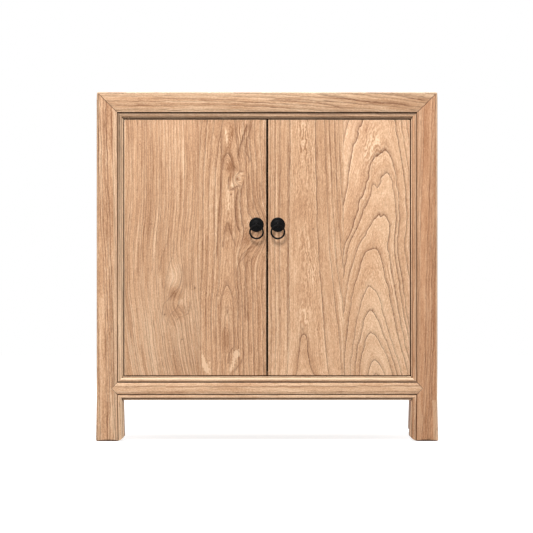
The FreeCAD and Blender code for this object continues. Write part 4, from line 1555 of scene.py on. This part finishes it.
@dataclass
class Carcass:
    """Posts, rails, panels, floor and shelf, which don't move.

    Attributes:
        maker: Makes the wooden pieces.
        body: The body that they are on.
        washer_edge: Width of the eased edge of a pivot's washer.
    """

    maker: Cabinetmaker
    body: str = "carcass"
    washer_edge: float = 0.2 * MILLIMETRE

    def build(self) -> None:
        """Makes every piece of the carcass."""
        self.posts()
        self.top_rails()
        self.bottom_rails()
        for number, side in enumerate(SIDES):
            self.side_boards(side, number)
        self.back_boards()
        self.flat_boards()
        self.inner_pieces()

    def add(
        self, node: str, slot: str, cut: Cut, pith: tuple[Pith, ...], **traits: object
    ) -> None:
        """Makes a piece from a board of its own.

        Args:
            node: The piece's node.
            slot: The record's material slot.
            cut: How the board lies.
            pith: The board's pith.
            traits: Its other fields.
        """
        board = ElmBoard(f"elm_{node}", cut, pith, **traits)
        self.maker.make(node, self.body, slot, board)

    def posts(self) -> None:
        """The four posts."""
        for number, place in enumerate(("front_left", "front_right", "rear_left", "rear_right")):
            node = f"post_{place}"
            low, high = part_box(node)
            left = "left" in place
            outer, inward = (low.x, 1) if left else (high.x, -1)
            depth = low.y + 0.11 if "front" in place else high.y - 0.11
            pith = (
                Pith(low.z, outer + inward * 0.170, depth),
                Pith(high.z, outer + inward * 0.145, depth),
            )
            traits = {"spacing": 0.0075, "seed": 3.0 + number * 1.37, "wave": 0.8, "feather": 0.5}
            if left:
                traits.update(tone=-0.15, streak=1.6)
            else:
                traits.update(tone=-0.25, streak=1.3, lines=0.7, warm=0.3)
            self.add(node, "elm_frame", Cut.FRONT_UPRIGHT, pith, **traits)

    def rail(self, node: str, inset: float) -> tuple[Cut, float, float, float]:
        """How a rail lies.

        Args:
            node: The rail's node.
            inset: How far behind its outer face the pith lies.

        Returns:
            Its cut, where it starts and ends, and the depth of the pith.
        """
        low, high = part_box(node)
        if node.endswith(("front", "rear")):
            cut, along, inward = Cut.FRONT_LEVEL, 0, 1
        else:
            cut, along, inward = Cut.SIDE_LEVEL, 1, 0
        outer_low = node.endswith(("front", "left"))
        depth = low[inward] + inset if outer_low else high[inward] - inset
        return cut, low[along], high[along], depth

    def top_rails(self) -> None:
        """The four rails of the top frame."""
        for number, place in enumerate(PLACES):
            node = f"top_rail_{place}"
            cut, start, end, depth = self.rail(node, 0.13)
            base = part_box(node)[0].z
            traits = {"seed": 11.0 + number * 1.61, "wave": 0.7, "tone": 0.16, "streak": 1.1}
            if cut is Cut.FRONT_LEVEL:
                drops = ((start, 0.045), (-0.05, 0.050), (0.16, 0.062), (end, 0.088))
                traits["lines"] = 0.8
            else:
                drops = ((start, 0.04), (end, 0.02))
                traits["lines"] = 0.9
            pith = tuple(Pith(along, base - drop, depth) for along, drop in drops)
            traits["traces"] = TOP_RAIL_TRACES if place == "front" else ()
            self.add(node, "elm_frame", cut, pith, spacing=0.0075, feather=0.6, **traits)

    def bottom_rails(self) -> None:
        """The four rails above the feet."""
        for number, place in enumerate(PLACES):
            node = f"bottom_rail_{place}"
            cut, start, end, depth = self.rail(node, 0.10)
            pith = straight(start, end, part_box(node)[1].z + 0.05, depth)
            traits = {"seed": 21.0 + number * 1.93, "wave": 0.7, "tone": 0.28, "streak": 1.2}
            traits.update(spacing=0.008, lines=0.75, feather=0.5)
            self.add(node, "elm_frame", cut, pith, **traits)

    def back_boards(self) -> None:
        """The five boards of the back."""
        for number in range(1, 6):
            node = f"back_board_{number}"
            low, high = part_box(node)
            middle = (low.x + high.x) / 2
            pith = (
                Pith(low.z, middle + 0.02 * (-1) ** number, high.y + 0.03),
                Pith(high.z, middle - 0.01 * number, high.y + 0.09),
            )
            traits = {"seed": 41.0 + number * 2.17, "lines": 0.8, "tone": -0.08}
            self.add(node, "elm_panel", Cut.FRONT_UPRIGHT, pith, **traits)

    def flat_boards(self) -> None:
        """The boards of the top, the floor and the shelf."""
        parts = ("top", "floor", "shelf")
        nodes = [f"{part}_board_{place}" for part in parts for place in ("front", "rear")]
        for number, node in enumerate(nodes):
            low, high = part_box(node)
            middle = (low.y + high.y) / 2
            pith = (
                Pith(low.x, middle + 0.015, high.z + 0.085),
                Pith(high.x, middle - 0.02, high.z + 0.02),
            )
            traits = {"seed": 61.0 + number * 2.71, "lines": 0.85, "tone": -0.02}
            self.add(node, "elm_panel", Cut.FLAT_LEVEL, pith, spacing=0.0095, **traits)

    def side_boards(self, side: str, number: int) -> None:
        """The two boards of a side panel, each its own piece.

        Args:
            side: Left or right.
            number: Sets the two sides apart.
        """
        node = f"side_panel_{side}"
        low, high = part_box(node)
        joint = (low.y + high.y) / 2
        outer, outward = (low.x, -1) if side == "left" else (high.x, 1)
        halves: dict[str, Chooser] = {
            "front_board": lambda middle: middle.y < joint,
            "rear_board": lambda middle: middle.y > joint,
        }
        for half, (suffix, chosen) in enumerate(halves.items()):
            middle = joint + (half - 0.5) * (high.y - low.y) / 2
            pith = (
                Pith(low.z, middle - 0.01, outer + outward * 0.012),
                Pith(high.z, middle + 0.015, outer + outward * 0.085),
            )
            seed = 31.0 + number * 3.1 + half * 1.3
            name = f"elm_{node}_{suffix}"
            board = ElmBoard(name, Cut.SIDE_UPRIGHT, pith, 0.0095, seed=seed, lines=0.9)
            self.maker.make(node, self.body, "elm_panel", board, chosen, suffix)

    def inner_pieces(self) -> None:
        """Battens, bearers and stops, which share one plain board, and the pivots' washers."""
        nodes = {
            "back_panel_battens": Cut.FRONT_LEVEL,
            "floor_battens": Cut.FLAT_DEEP,
            "top_panel_battens": Cut.FLAT_DEEP,
            "shelf_bearer_left": Cut.SIDE_LEVEL,
            "shelf_bearer_right": Cut.SIDE_LEVEL,
            "door_stop_upper": Cut.FRONT_LEVEL,
            "door_stop_lower": Cut.FRONT_LEVEL,
        }
        for node, cut in nodes.items():
            self.maker.make(node, self.body, "elm_inner", inner_board(cut))
        workshop = self.maker.workshop
        iron = BlackIron().material()
        sides: dict[str, Chooser] = {
            "left": lambda middle: middle.x < 0,
            "right": lambda middle: middle.x > 0,
        }
        for side, chosen in sides.items():
            washer = workshop.copy_of("pivot_washers", f"pivot_washer_{side}", chosen)
            workshop.ease(washer, self.washer_edge)
            workshop.mount(washer, self.body, "black_iron", iron, "pivot_washers")


@dataclass
class RingPull:
    """A round iron plate, a split pin through it and a ring that hangs in the pin's eye.

    Attributes:
        side: Left or right.
        forge: The smith.
        hole: Radius of the holes that the pin goes through.
        rim: Height of the plate's rim.
        ridge: Distance of the plate's raised ring from its rim, and its height.
        valley: The same for the hollow inside that ring.
        brow: How far the slope between them bulges.
        boss: Radius of the flat top of the plate's dome.
        washer_edge: Width of the eased edge of the washer.
        bar: Thickness of the pin's bar.
        eye: Outer and inner radius of the pin's eye.
        gap: Space between the two legs of the pin.
        crook: Inner radius where a leg turns into a tail.
        tip: Length over which a tail thins, and its thickness there.
    """

    side: str
    forge: Forge = field(default_factory=Forge)
    hole: float = 2.2 * MILLIMETRE
    rim: float = 0.8 * MILLIMETRE
    ridge: tuple[float, float] = (2.7 * MILLIMETRE, 2.3 * MILLIMETRE)
    valley: tuple[float, float] = (4.9 * MILLIMETRE, 1.7 * MILLIMETRE)
    brow: float = 0.1 * MILLIMETRE
    boss: float = 3.4 * MILLIMETRE
    washer_edge: float = 0.3 * MILLIMETRE
    bar: float = 1.85 * MILLIMETRE
    eye: tuple[float, float] = (6.8 * MILLIMETRE, 4.6 * MILLIMETRE)
    gap: float = 0.3 * MILLIMETRE
    crook: float = 0.3 * MILLIMETRE
    tip: tuple[float, float] = (3.5 * MILLIMETRE, 0.9 * MILLIMETRE)

    def build(self, workshop: Workshop) -> None:
        """Makes the four pieces and puts them on their bodies.

        Args:
            workshop: Mounts them.
        """
        iron = BlackIron().material()
        pieces = {
            "rosette": (self.rosette, "door"),
            "pull_back_washer": (self.back_washer, "door"),
            "split_pin": (self.split_pin, "door"),
            "pull_ring": (self.forge.ring, "ring"),
        }
        for kind, (shaped, body) in pieces.items():
            node = f"{kind}_{self.side}"
            piece = shaped(f"{node}_forged", *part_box(node))
            workshop.mount(piece, f"{body}_{self.side}", "black_iron", iron, node)

    def rosette(self, name: str, low: Vector, high: Vector) -> bpy.types.Object:
        """The plate: a thin rim, a raised ring, a hollow and a shallow dome.

        Args:
            name: Its name.
            low: Lowest corner of the room it fills.
            high: Highest corner.

        Returns:
            The piece.
        """
        radius = (high.x - low.x) / 2
        top = high.y - low.y
        edge, crest = radius - self.ridge[0], self.ridge[1]
        hollow, floor = radius - self.valley[0], self.valley[1]
        profile = [(self.hole, 0.0), (radius, 0.0), (radius, self.rim)]
        for share in (0.35, 0.7, 0.9, 1.0):
            rise = math.sin(share * math.pi / 2)
            profile.append((radius - self.ridge[0] * share, self.rim + (crest - self.rim) * rise))
        profile += [((edge + hollow) / 2, (crest + floor) / 2 + self.brow), (hollow, floor)]
        for share in (0.2, 0.4, 0.6, 0.8, 1.0):
            rise = math.sin(share * math.pi / 2)
            wide = hollow + (self.boss - hollow) * share
            profile.append((wide, floor + (top - floor) * rise))
        profile.append((self.hole, top))
        return self.round_piece(name, low, high, profile)

    def back_washer(self, name: str, low: Vector, high: Vector) -> bpy.types.Object:
        """The washer behind the door.

        Args:
            name: Its name.
            low: Lowest corner of the room it fills.
            high: Highest corner.

        Returns:
            The piece.
        """
        radius = (high.x - low.x) / 2
        top = high.y - low.y
        ease = self.washer_edge
        profile = [(self.hole, 0.0), (radius - ease, 0.0), (radius, ease), (radius, top - ease)]
        profile += [(radius - ease, top), (radius * 0.6, top), (self.hole, top)]
        return self.round_piece(name, low, high, profile)

    def round_piece(
        self, name: str, low: Vector, high: Vector, profile: list[tuple[float, float]]
    ) -> bpy.types.Object:
        """A plate or washer that lies against the rear of the room it fills.

        Args:
            name: Its name.
            low: Lowest corner of the room.
            high: Highest corner.
            profile: Radius and height of each ring.

        Returns:
            The piece.
        """
        centre = (low + high) / 2
        centre.y = high.y
        return self.forge.plate(name, centre, profile)

    def split_pin(self, name: str, low: Vector, high: Vector) -> bpy.types.Object:
        """The split pin: a tail, a leg, the eye, and back again to the second tail.

        Args:
            name: Its name.
            low: Lowest corner of the room it fills.
            high: Highest corner.

        Returns:
            The piece.
        """
        axis = (low + high) / 2
        upper = self.upper_half(low, high, axis)
        outer, inner = self.eye
        middle, thick = (outer + inner) / 2, outer - inner
        centre = Vector((axis.x, low.y + outer, axis.z))
        loop = []
        for degrees in range(30, 345, 15):
            turn = math.radians(degrees)
            spoke = Vector((0.0, math.cos(turn), math.sin(turn)))
            loop.append(Section(centre + spoke * middle, turn - math.pi, thick))
        lower = []
        for section in reversed(upper):
            place = section.place.copy()
            place.z = 2 * axis.z - place.z
            lower.append(Section(place, -section.lean, section.thickness))
        return self.forge.bar(name, high.x - low.x, upper + loop + lower)

    def upper_half(self, low: Vector, high: Vector, axis: Vector) -> list[Section]:
        """The upper tail and leg of the split pin, from the tail's tip to the eye.

        Args:
            low: Lowest corner of the pin.
            high: Highest corner of the pin.
            axis: Its middle.

        Returns:
            Their sections.
        """
        half = self.bar / 2
        tail = high.y - half
        leg = axis.z + self.gap / 2 + half
        outer, inner = self.eye
        bend = self.crook + half
        sections = [
            Section(Vector((axis.x, tail - 0.3 * half, high.z)), 0.0, self.tip[1]),
            Section(Vector((axis.x, tail, high.z - self.tip[0])), 0.0, self.bar),
        ]
        for turn in (0.0, 30.0, 60.0, 90.0):
            angle = math.radians(turn)
            place = Vector((axis.x, tail - bend, leg + bend))
            place += Vector((0.0, math.cos(angle), -math.sin(angle))) * bend
            sections.append(Section(place, -angle, self.bar))
        far = math.sqrt(outer**2 - (self.gap / 2 + self.bar) ** 2)
        near = math.sqrt(inner**2 - (self.gap / 2) ** 2)
        neck = Vector((axis.x, low.y + outer + (far + near) / 2, leg))
        before = neck + Vector((0.0, self.bar, 0.0))
        sections.append(Section(before, -math.pi / 2, self.bar))
        lean = math.atan2(self.bar, far - near) - math.pi
        sections.append(Section(neck, lean, math.hypot(self.bar, far - near)))
        return sections


@dataclass
class Door:
    """One door with its boards, battens, pivots and ring pull.

    Attributes:
        maker: Makes the wooden pieces.
        side: Left or right.
    """

    maker: Cabinetmaker
    side: str

    def build(self) -> None:
        """Makes every piece of the door."""
        body = f"door_{self.side}"
        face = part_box(f"{body}_hinge_board")[0].y
        for place in ("hinge", "meeting"):
            board = DOOR_BOARDS[self.side, place](f"elm_{body}_{place}", face)
            self.maker.make(f"{body}_{place}_board", body, "elm_door", board)
        battens = inner_board(Cut.FRONT_LEVEL)
        self.maker.make(f"{body}_battens", body, "elm_inner", battens)
        pith = straight(0.1, 0.9, 0.3, -0.3)
        dowel = ElmBoard("pivot_hardwood", Cut.FRONT_UPRIGHT, pith, 0.004, seed=91.0, tone=-0.7)
        self.maker.make(f"{body}_pivot_dowels", body, "hardwood_pivot", dowel)
        RingPull(self.side).build(self.maker.workshop)


def piths(face: float, *rows: tuple[float, ...]) -> tuple[Pith, ...]:
    """A pith line in front of a door.

    Args:
        face: Place of the door's front face in Y, in metres.
        rows: For each point its places along and across the board and its distance from the
            face, all in millimetres, and how close together the rings are on both sides.

    Returns:
        The line.
    """
    points = []
    for along, across, ahead, *closeness in rows:
        spot = (along * MILLIMETRE, across * MILLIMETRE, face - ahead * MILLIMETRE)
        points.append(Pith(*spot, *closeness))
    return tuple(points)


def right_hinge_board(name: str, face: float) -> ElmBoard:
    """The right door's board at the pivots, with tall arches.

    Args:
        name: Name of its material.
        face: Place of the door's front face in Y.

    Returns:
        The board.
    """
    return ElmBoard(
        name=name,
        cut=Cut.FRONT_UPRIGHT,
        pith=piths(
            face,
            (163, 272, 10, 0.85, 0.85),
            (197, 268, 20.6, 0.85, 0.85),
            (261, 262, 38, 0.85, 0.85),
            (364, 257, 55.6, 0.85, 0.85),
            (455, 262, 67.5, 0.80, 0.95),
            (558, 290, 78.8, 0.64, 1.2),
            (657, 296, 88, 0.62, 1.25),
            (715, 294, 93.4, 0.62, 1.25),
            (800, 290, 100.4, 0.7, 1.25),
        ),
        spacing=0.010,
        rings=(0.0105, 0.0206, 0.038, 0.047, 0.0556, 0.069, 0.0788, 0.088, 0.0934, 0.108),
        seed=0.4,
        lines=1.15,
        wave=0.75,
        tone=0.16,
        feather=0.5,
        streak=0.75,
        knots=marks(
            (262, 672, 5, 22, -0.0030),
            (265, 622, 5, 22, -0.0028),
            (266, 520, 5, 24, -0.0028),
        ),
        plumes=marks((270, 735, 28, 60, 1.7), (300, 400, 18, 50, 0.9), (272, 315, 20, 30, 0.9)),
        shades=marks(
            (275, 220, 90, 130, 0.30),
            (268, 740, 24, 50, 0.06),
            (335, 420, 16, 120, -0.30),
        ),
    )


def right_meeting_board(name: str, face: float) -> ElmBoard:
    """The right door's board at the middle, with straight lines.

    Args:
        name: Name of its material.
        face: Place of the door's front face in Y.

    Returns:
        The board.
    """
    return ElmBoard(
        name=name,
        cut=Cut.FRONT_UPRIGHT,
        pith=piths(
            face,
            (163, 88, 12, 1.1, 0.66),
            (274, 87.5, 24, 1.1, 0.68),
            (530, 89, 28, 1.0, 0.9),
            (800, 89, 30, 1.0, 1.05),
        ),
        spacing=0.012,
        rings=(0.012, 0.024, 0.046, 0.066, 0.077, 0.088, 0.098),
        seed=1.3,
        lines=0.85,
        wave=0.6,
        tone=0.10,
        feather=0.8,
        streak=0.9,
        flecks=marks((114, 528, 1.8, 1.8), (21, 372)),
        plumes=marks((94, 730, 32, 75, 1.2), (108, 415, 16, 75, 1.4), (90, 310, 12, 30, 1.6)),
        traces=(
            Trace(0.75, (180, 51, 420, 50, 620, 51.5, 795, 50.5)),
            Trace(0.45, (200, 30, 500, 29, 790, 29.5)),
        ),
    )


def left_hinge_board(name: str, face: float) -> ElmBoard:
    """The left door's board at the pivots, with fine straight grain and a swirl low down.

    Args:
        name: Name of its material.
        face: Place of the door's front face in Y.

    Returns:
        The board.
    """
    line = ((163, -462), (300, -482), (450, -492), (620, -482), (800, -484))
    return ElmBoard(
        name=name,
        cut=Cut.FRONT_UPRIGHT,
        pith=piths(face, *((along, across, 70) for along, across in line)),
        spacing=0.0072,
        seed=5.2,
        lines=0.62,
        wave=0.55,
        tone=-0.14,
        feather=0.5,
        streak=1.15,
        knots=marks((-222, 410, 18, 34, -0.012), (-236, 338, 23, 36, 0.015)),
        flecks=marks(
            (-289, 540, 5, 1.1, 0.7),
            (-345, 463, 2.4, 1, 0.7),
            (-317, 738),
            (-180, 381, 2.2, 2.6),
            (-255, 315, 1.8, 2.4),
            (-212, 253, 1.8, 1.8),
        ),
        shades=marks(
            (-275, 240, 110, 280, 0.34),
            (-232, 367, 13, 16, -0.95),
            (-232, 407, 11, 26, 0.55),
            (-226, 322, 20, 24, -0.55),
            (-218, 345, 7, 10, 0.60),
            (-300, 520, 12, 200, -0.28),
            (-208, 695, 3.5, 90, 0.60),
        ),
        traces=(
            Trace(
                0.60,
                (290, -259.5, 336, -259, 351, -248, 370, -232, 391, -217, 413, -212, 450, -213),
            ),
            Trace(
                0.50,
                (275, -250, 299, -248, 317, -239, 336, -223, 364, -217, 395, -209, 425, -207),
            ),
            Trace(0.60, (297, -230, 309, -217, 313, -204, 326, -195, 350, -193)),
            Trace(0.5, (360, -259, 401, -251.5, 438, -244.5, 469, -234.1, 505, -232)),
            Trace(0.5, (415, -268, 441, -266.5, 473, -256.9, 502, -247.8, 545, -244)),
            Trace(0.35, (187, -338.5, 222, -347, 257, -352)),
            Trace(0.35, (177, -217.5, 230, -231, 291, -245)),
            Trace(0.30, (168, -242, 240, -256, 300, -262)),
        ),
    )


def left_meeting_board(name: str, face: float) -> ElmBoard:
    """The left door's board at the middle, with an arch and a knot above a tall arch.

    Args:
        name: Name of its material.
        face: Place of the door's front face in Y.

    Returns:
        The board.
    """
    return ElmBoard(
        name=name,
        cut=Cut.FRONT_UPRIGHT,
        pith=piths(
            face,
            (163, -98, 4),
            (339, -100, 8),
            (393, -100, 17),
            (450, -99, 18.5),
            (550, -98, 19.5),
            (660, -98, 20.1),
            (722, -98, 27),
            (800, -94, 34),
        ),
        spacing=0.010,
        rings=(0.0064, 0.017, 0.027, 0.0385, 0.052, 0.065, 0.076, 0.088),
        seed=7.7,
        lines=0.85,
        wave=0.55,
        tone=-0.12,
        feather=0.8,
        knots=marks(
            (-72.6, 652, 9, 12, 0.020),
            (-18, 520, 36, 55, -0.028),
            (-60, 455, 25, 30, 0.008),
        ),
        flecks=marks(
            (-90, 613.6, 2.4, 2.4),
            (-74.8, 651.5, 3, 4.6, 0.45),
            (-64, 671, 6, 2.2, 0.65),
            (-59, 660, 5, 1.8, 0.50),
            (-104, 281.5, 1.6, 2),
            (-53, 530, 4, 1, 0.7),
            (-26, 400, 1.6, 1.6),
        ),
        shades=marks(
            (-88, 768, 9, 24, -0.60),
            (-92.5, 684, 12, 16, -0.95),
            (-90, 657, 7, 11, -0.70),
            (-55, 503, 12, 20, -0.60),
            (-95, 530, 13, 14, -0.55),
            (-74.8, 652.5, 8.5, 10, 1.6),
            (-74.8, 652.5, 5, 6.4, -1.9),
            (-87, 638, 5, 6, 0.90),
            (-64, 665, 5, 4, 0.60),
            (-103, 768, 2.2, 10, 1.3),
            (-100, 748, 2.4, 13, 1.2),
            (-104, 255, 11, 30, -0.55),
            (-13, 588, 4, 12, 0.60),
        ),
        plumes=marks((-72, 770, 16, 20, 2.4), (-95, 560, 14, 35, 1.2)),
        flakes=marks(
            (-161, 209, 6, 10, 0.75),
            (-156, 190, 8, 14, 0.80),
            (-149, 174, 8, 13, 0.75),
            (-143, 196, 2.6, 12, 0.60),
            (-74.5, 218, 10.5, 13, 0.90),
            (-83, 196, 7.5, 15, 0.75),
            (-90.5, 178, 5, 10, 0.70),
        ),
        traces=LEFT_MEETING_TRACES,
    )


LEFT_MEETING_TRACES = (
    Trace(
        1.0,
        (697.3, -73.8, 712, -72.8, 733.3, -68.6, 750.2, -62.1, 769.4, -56.9, 795, -47),
        2.6,
    ),
    Trace(
        0.9,
        (689.1, -41.5, 707.7, -47.2, 722.6, -53.2, 739.8, -52.6, 765.1, -46.2, 795, -38),
        2.4,
    ),
    Trace(0.85, (674, -76, 693, -88, 711, -91.5, 722.5, -97.5)),
    Trace(0.8, (670, -113, 693.1, -109.8, 710, -106, 722.5, -98.5)),
    Trace(0.9, (624, -92.5, 639.9, -97.2, 660, -95.5)),
    Trace(0.9, (622.5, -94.5, 630.2, -83.2, 637, -68), 6),
    Trace(
        1.0,
        (513, -48, 516.5, -63, 523.1, -70.6, 548.4, -77, 574, -79.5, 590.9, -79, 612.3, -76)
        + (632, -69),
        2.4,
    ),
    Trace(
        0.85,
        (525, -62.5, 548.4, -64.1, 569.8, -66.3, 590.9, -68.6, 612.3, -66.3, 633.4, -62.1)
        + (656, -57),
    ),
    Trace(0.65, (550, -38, 563.4, -46.2, 580.5, -49.5, 601.6, -48.2, 633.4, -48.2, 675, -46.5)),
    Trace(0.6, (570, -34.5, 601.6, -35.5, 633.4, -34.5, 680, -35.5)),
    Trace(0.55, (569, -7, 580.5, -15.4, 601.6, -19.6, 650, -17)),
    Trace(0.85, (482, -79, 508.2, -87.7, 527.3, -93.9, 550, -99)),
    Trace(0.75, (478, -113.5, 505.9, -107.9, 529.3, -104.6, 550, -99.8)),
    Trace(
        0.85,
        (430, -128, 495.5, -124.7, 538, -122, 590.9, -119.5, 623, -116.8, 675.9, -115.6)
        + (729.1, -114.8, 795, -116),
    ),
    Trace(0.7, (440, -70, 458, -66.7, 480, -44, 489, -30.3)),
    Trace(0.8, (290, -71.6, 361, -71.6, 432, -73.8, 455, -60, 487, -30.3)),
    Trace(0.75, (292, -55.2, 360, -55.5, 431, -53.2, 470, -33)),
    Trace(0.75, (168, -88, 185, -74.5, 200, -64, 218, -59, 234, -64)),
    Trace(0.8, (190, -98.5, 215, -95, 228, -89, 236, -76)),
)

DOOR_BOARDS = {
    ("left", "hinge"): left_hinge_board,
    ("left", "meeting"): left_meeting_board,
    ("right", "hinge"): right_hinge_board,
    ("right", "meeting"): right_meeting_board,
}


@dataclass(frozen=True)
class Lamp:
    """A square soft lamp that faces the cabinet.

    Attributes:
        name: Its name.
        place: Where it hangs.
        size: Length of a side.
        power: Its power in watts.
    """

    name: str
    place: tuple[float, float, float]
    size: float
    power: float

    def hang(self) -> None:
        """Puts it up."""
        data = bpy.data.lights.new(self.name, "AREA")
        data.size = self.size
        data.energy = self.power
        lamp = bpy.data.objects.new(self.name, data)
        bpy.context.scene.collection.objects.link(lamp)
        lamp.location = self.place
        low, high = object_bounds()
        towards = (low + high) / 2 - lamp.location
        lamp.rotation_euler = towards.to_track_quat("-Z", "Y").to_euler()


@dataclass(frozen=True)
class Studio:
    """Camera, lamps, floor and background.

    Attributes:
        picture: Width and height of the picture in pixels.
        middle: Pixel where the cabinet's middle line falls.
        floor_line: Pixel row of the front feet's lowest edge.
        pixel: Size of a pixel on the cabinet's front in metres.
        distance: From the camera to the cabinet's front.
        aside: Place of the camera beside the cabinet's middle.
        sensor: Width of the camera's sensor in millimetres.
        lamps: The lamps.
        sky: Strength of the light from all round.
        floor_reach: Width and depth of the floor.
        floor_white: How much light the floor gives off to the camera.
    """

    picture: float = 533.0
    middle: float = 267.2
    floor_line: float = 441.3
    pixel: float = 2.485 * MILLIMETRE
    distance: float = 7.5
    aside: float = -0.05
    sensor: float = 36.0
    lamps: tuple[Lamp, ...] = (
        Lamp("key_lamp", (-0.7, -2.6, 3.7), 1.4, 186.0),
        Lamp("left_lamp", (-3.2, 0.3, 1.9), 2.0, 26.0),
        Lamp("right_lamp", (3.2, 0.3, 1.9), 2.0, 26.0),
        Lamp("rear_lamp", (0.6, 3.0, 2.8), 2.0, 70.0),
    )
    sky: float = 0.32
    floor_reach: float = 14.0
    floor_white: float = 0.84

    def build(self) -> None:
        """Makes the camera, the lamps, the floor and the background."""
        self.camera()
        for lamp in self.lamps:
            lamp.hang()
        self.floor()
        self.background()
        bpy.context.scene.view_settings.view_transform = "Standard"

    def camera(self) -> None:
        """A camera in front of the cabinet, at half its height and a little to the left."""
        data = bpy.data.cameras.new("front_camera")
        camera = bpy.data.objects.new("front_camera", data)
        bpy.context.scene.collection.objects.link(camera)
        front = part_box("post_front_left")[0].y
        centre = self.picture / 2
        height = (self.floor_line - centre) * self.pixel
        aim = Vector(((centre - self.middle) * self.pixel, front, height))
        camera.location = (self.aside, front - self.distance, height)
        camera.rotation_euler = (aim - camera.location).to_track_quat("-Z", "Y").to_euler()
        data.sensor_width = self.sensor
        data.lens = data.sensor_width * self.distance / (self.picture * self.pixel)
        data.clip_end = 100.0
        bpy.context.scene.camera = camera

    def floor(self) -> None:
        """A wide white floor that keeps a pale shadow."""
        bpy.ops.object.select_all(action="DESELECT")
        bpy.ops.mesh.primitive_plane_add(size=self.floor_reach)
        floor = bpy.context.active_object
        floor.name = "studio_floor"
        made = bpy.data.materials.new("white_floor")
        bench = emptied(made)
        diffuse = bench.use("BsdfDiffuse", {"Color": (0.5, 0.5, 0.5, 1.0)})
        glow = bench.use("Emission", {"Strength": self.seen(bench) * self.floor_white})
        bench.put("OutputMaterial", {0: bench.use("AddShader", {0: diffuse, 1: glow})})
        floor.data.materials.append(made)
        floor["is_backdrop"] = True

    def seen(self, bench: Bench) -> Wire:
        """1 for rays from the camera or through or off a shiny surface, else 0."""
        path = bench.wires(bench.put("LightPath", {}))
        shiny = path["Is Camera Ray"].at_least(path["Is Glossy Ray"])
        return shiny.at_least(path["Is Transmission Ray"])

    def background(self) -> None:
        """White to look at, and a plain soft light on the cabinet."""
        world = bpy.data.worlds.new("white_room")
        bpy.context.scene.world = world
        bench = emptied(world)
        strength = self.seen(bench) * (1.0 - self.sky) + self.sky
        sky = bench.use("Background", {"Color": (1.0, 1.0, 1.0, 1.0), "Strength": strength})
        bench.put("OutputWorld", {0: sky})


def main() -> None:
    """Builds the cabinet and the studio."""
    logging.basicConfig(level=logging.INFO, format="%(message)s")
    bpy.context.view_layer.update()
    maker = Cabinetmaker()
    Carcass(maker).build()
    for side in SIDES:
        Door(maker, side).build()
    maker.age()
    Studio().build()
    bpy.context.view_layer.update()


if __name__ == "__main__":
    main()
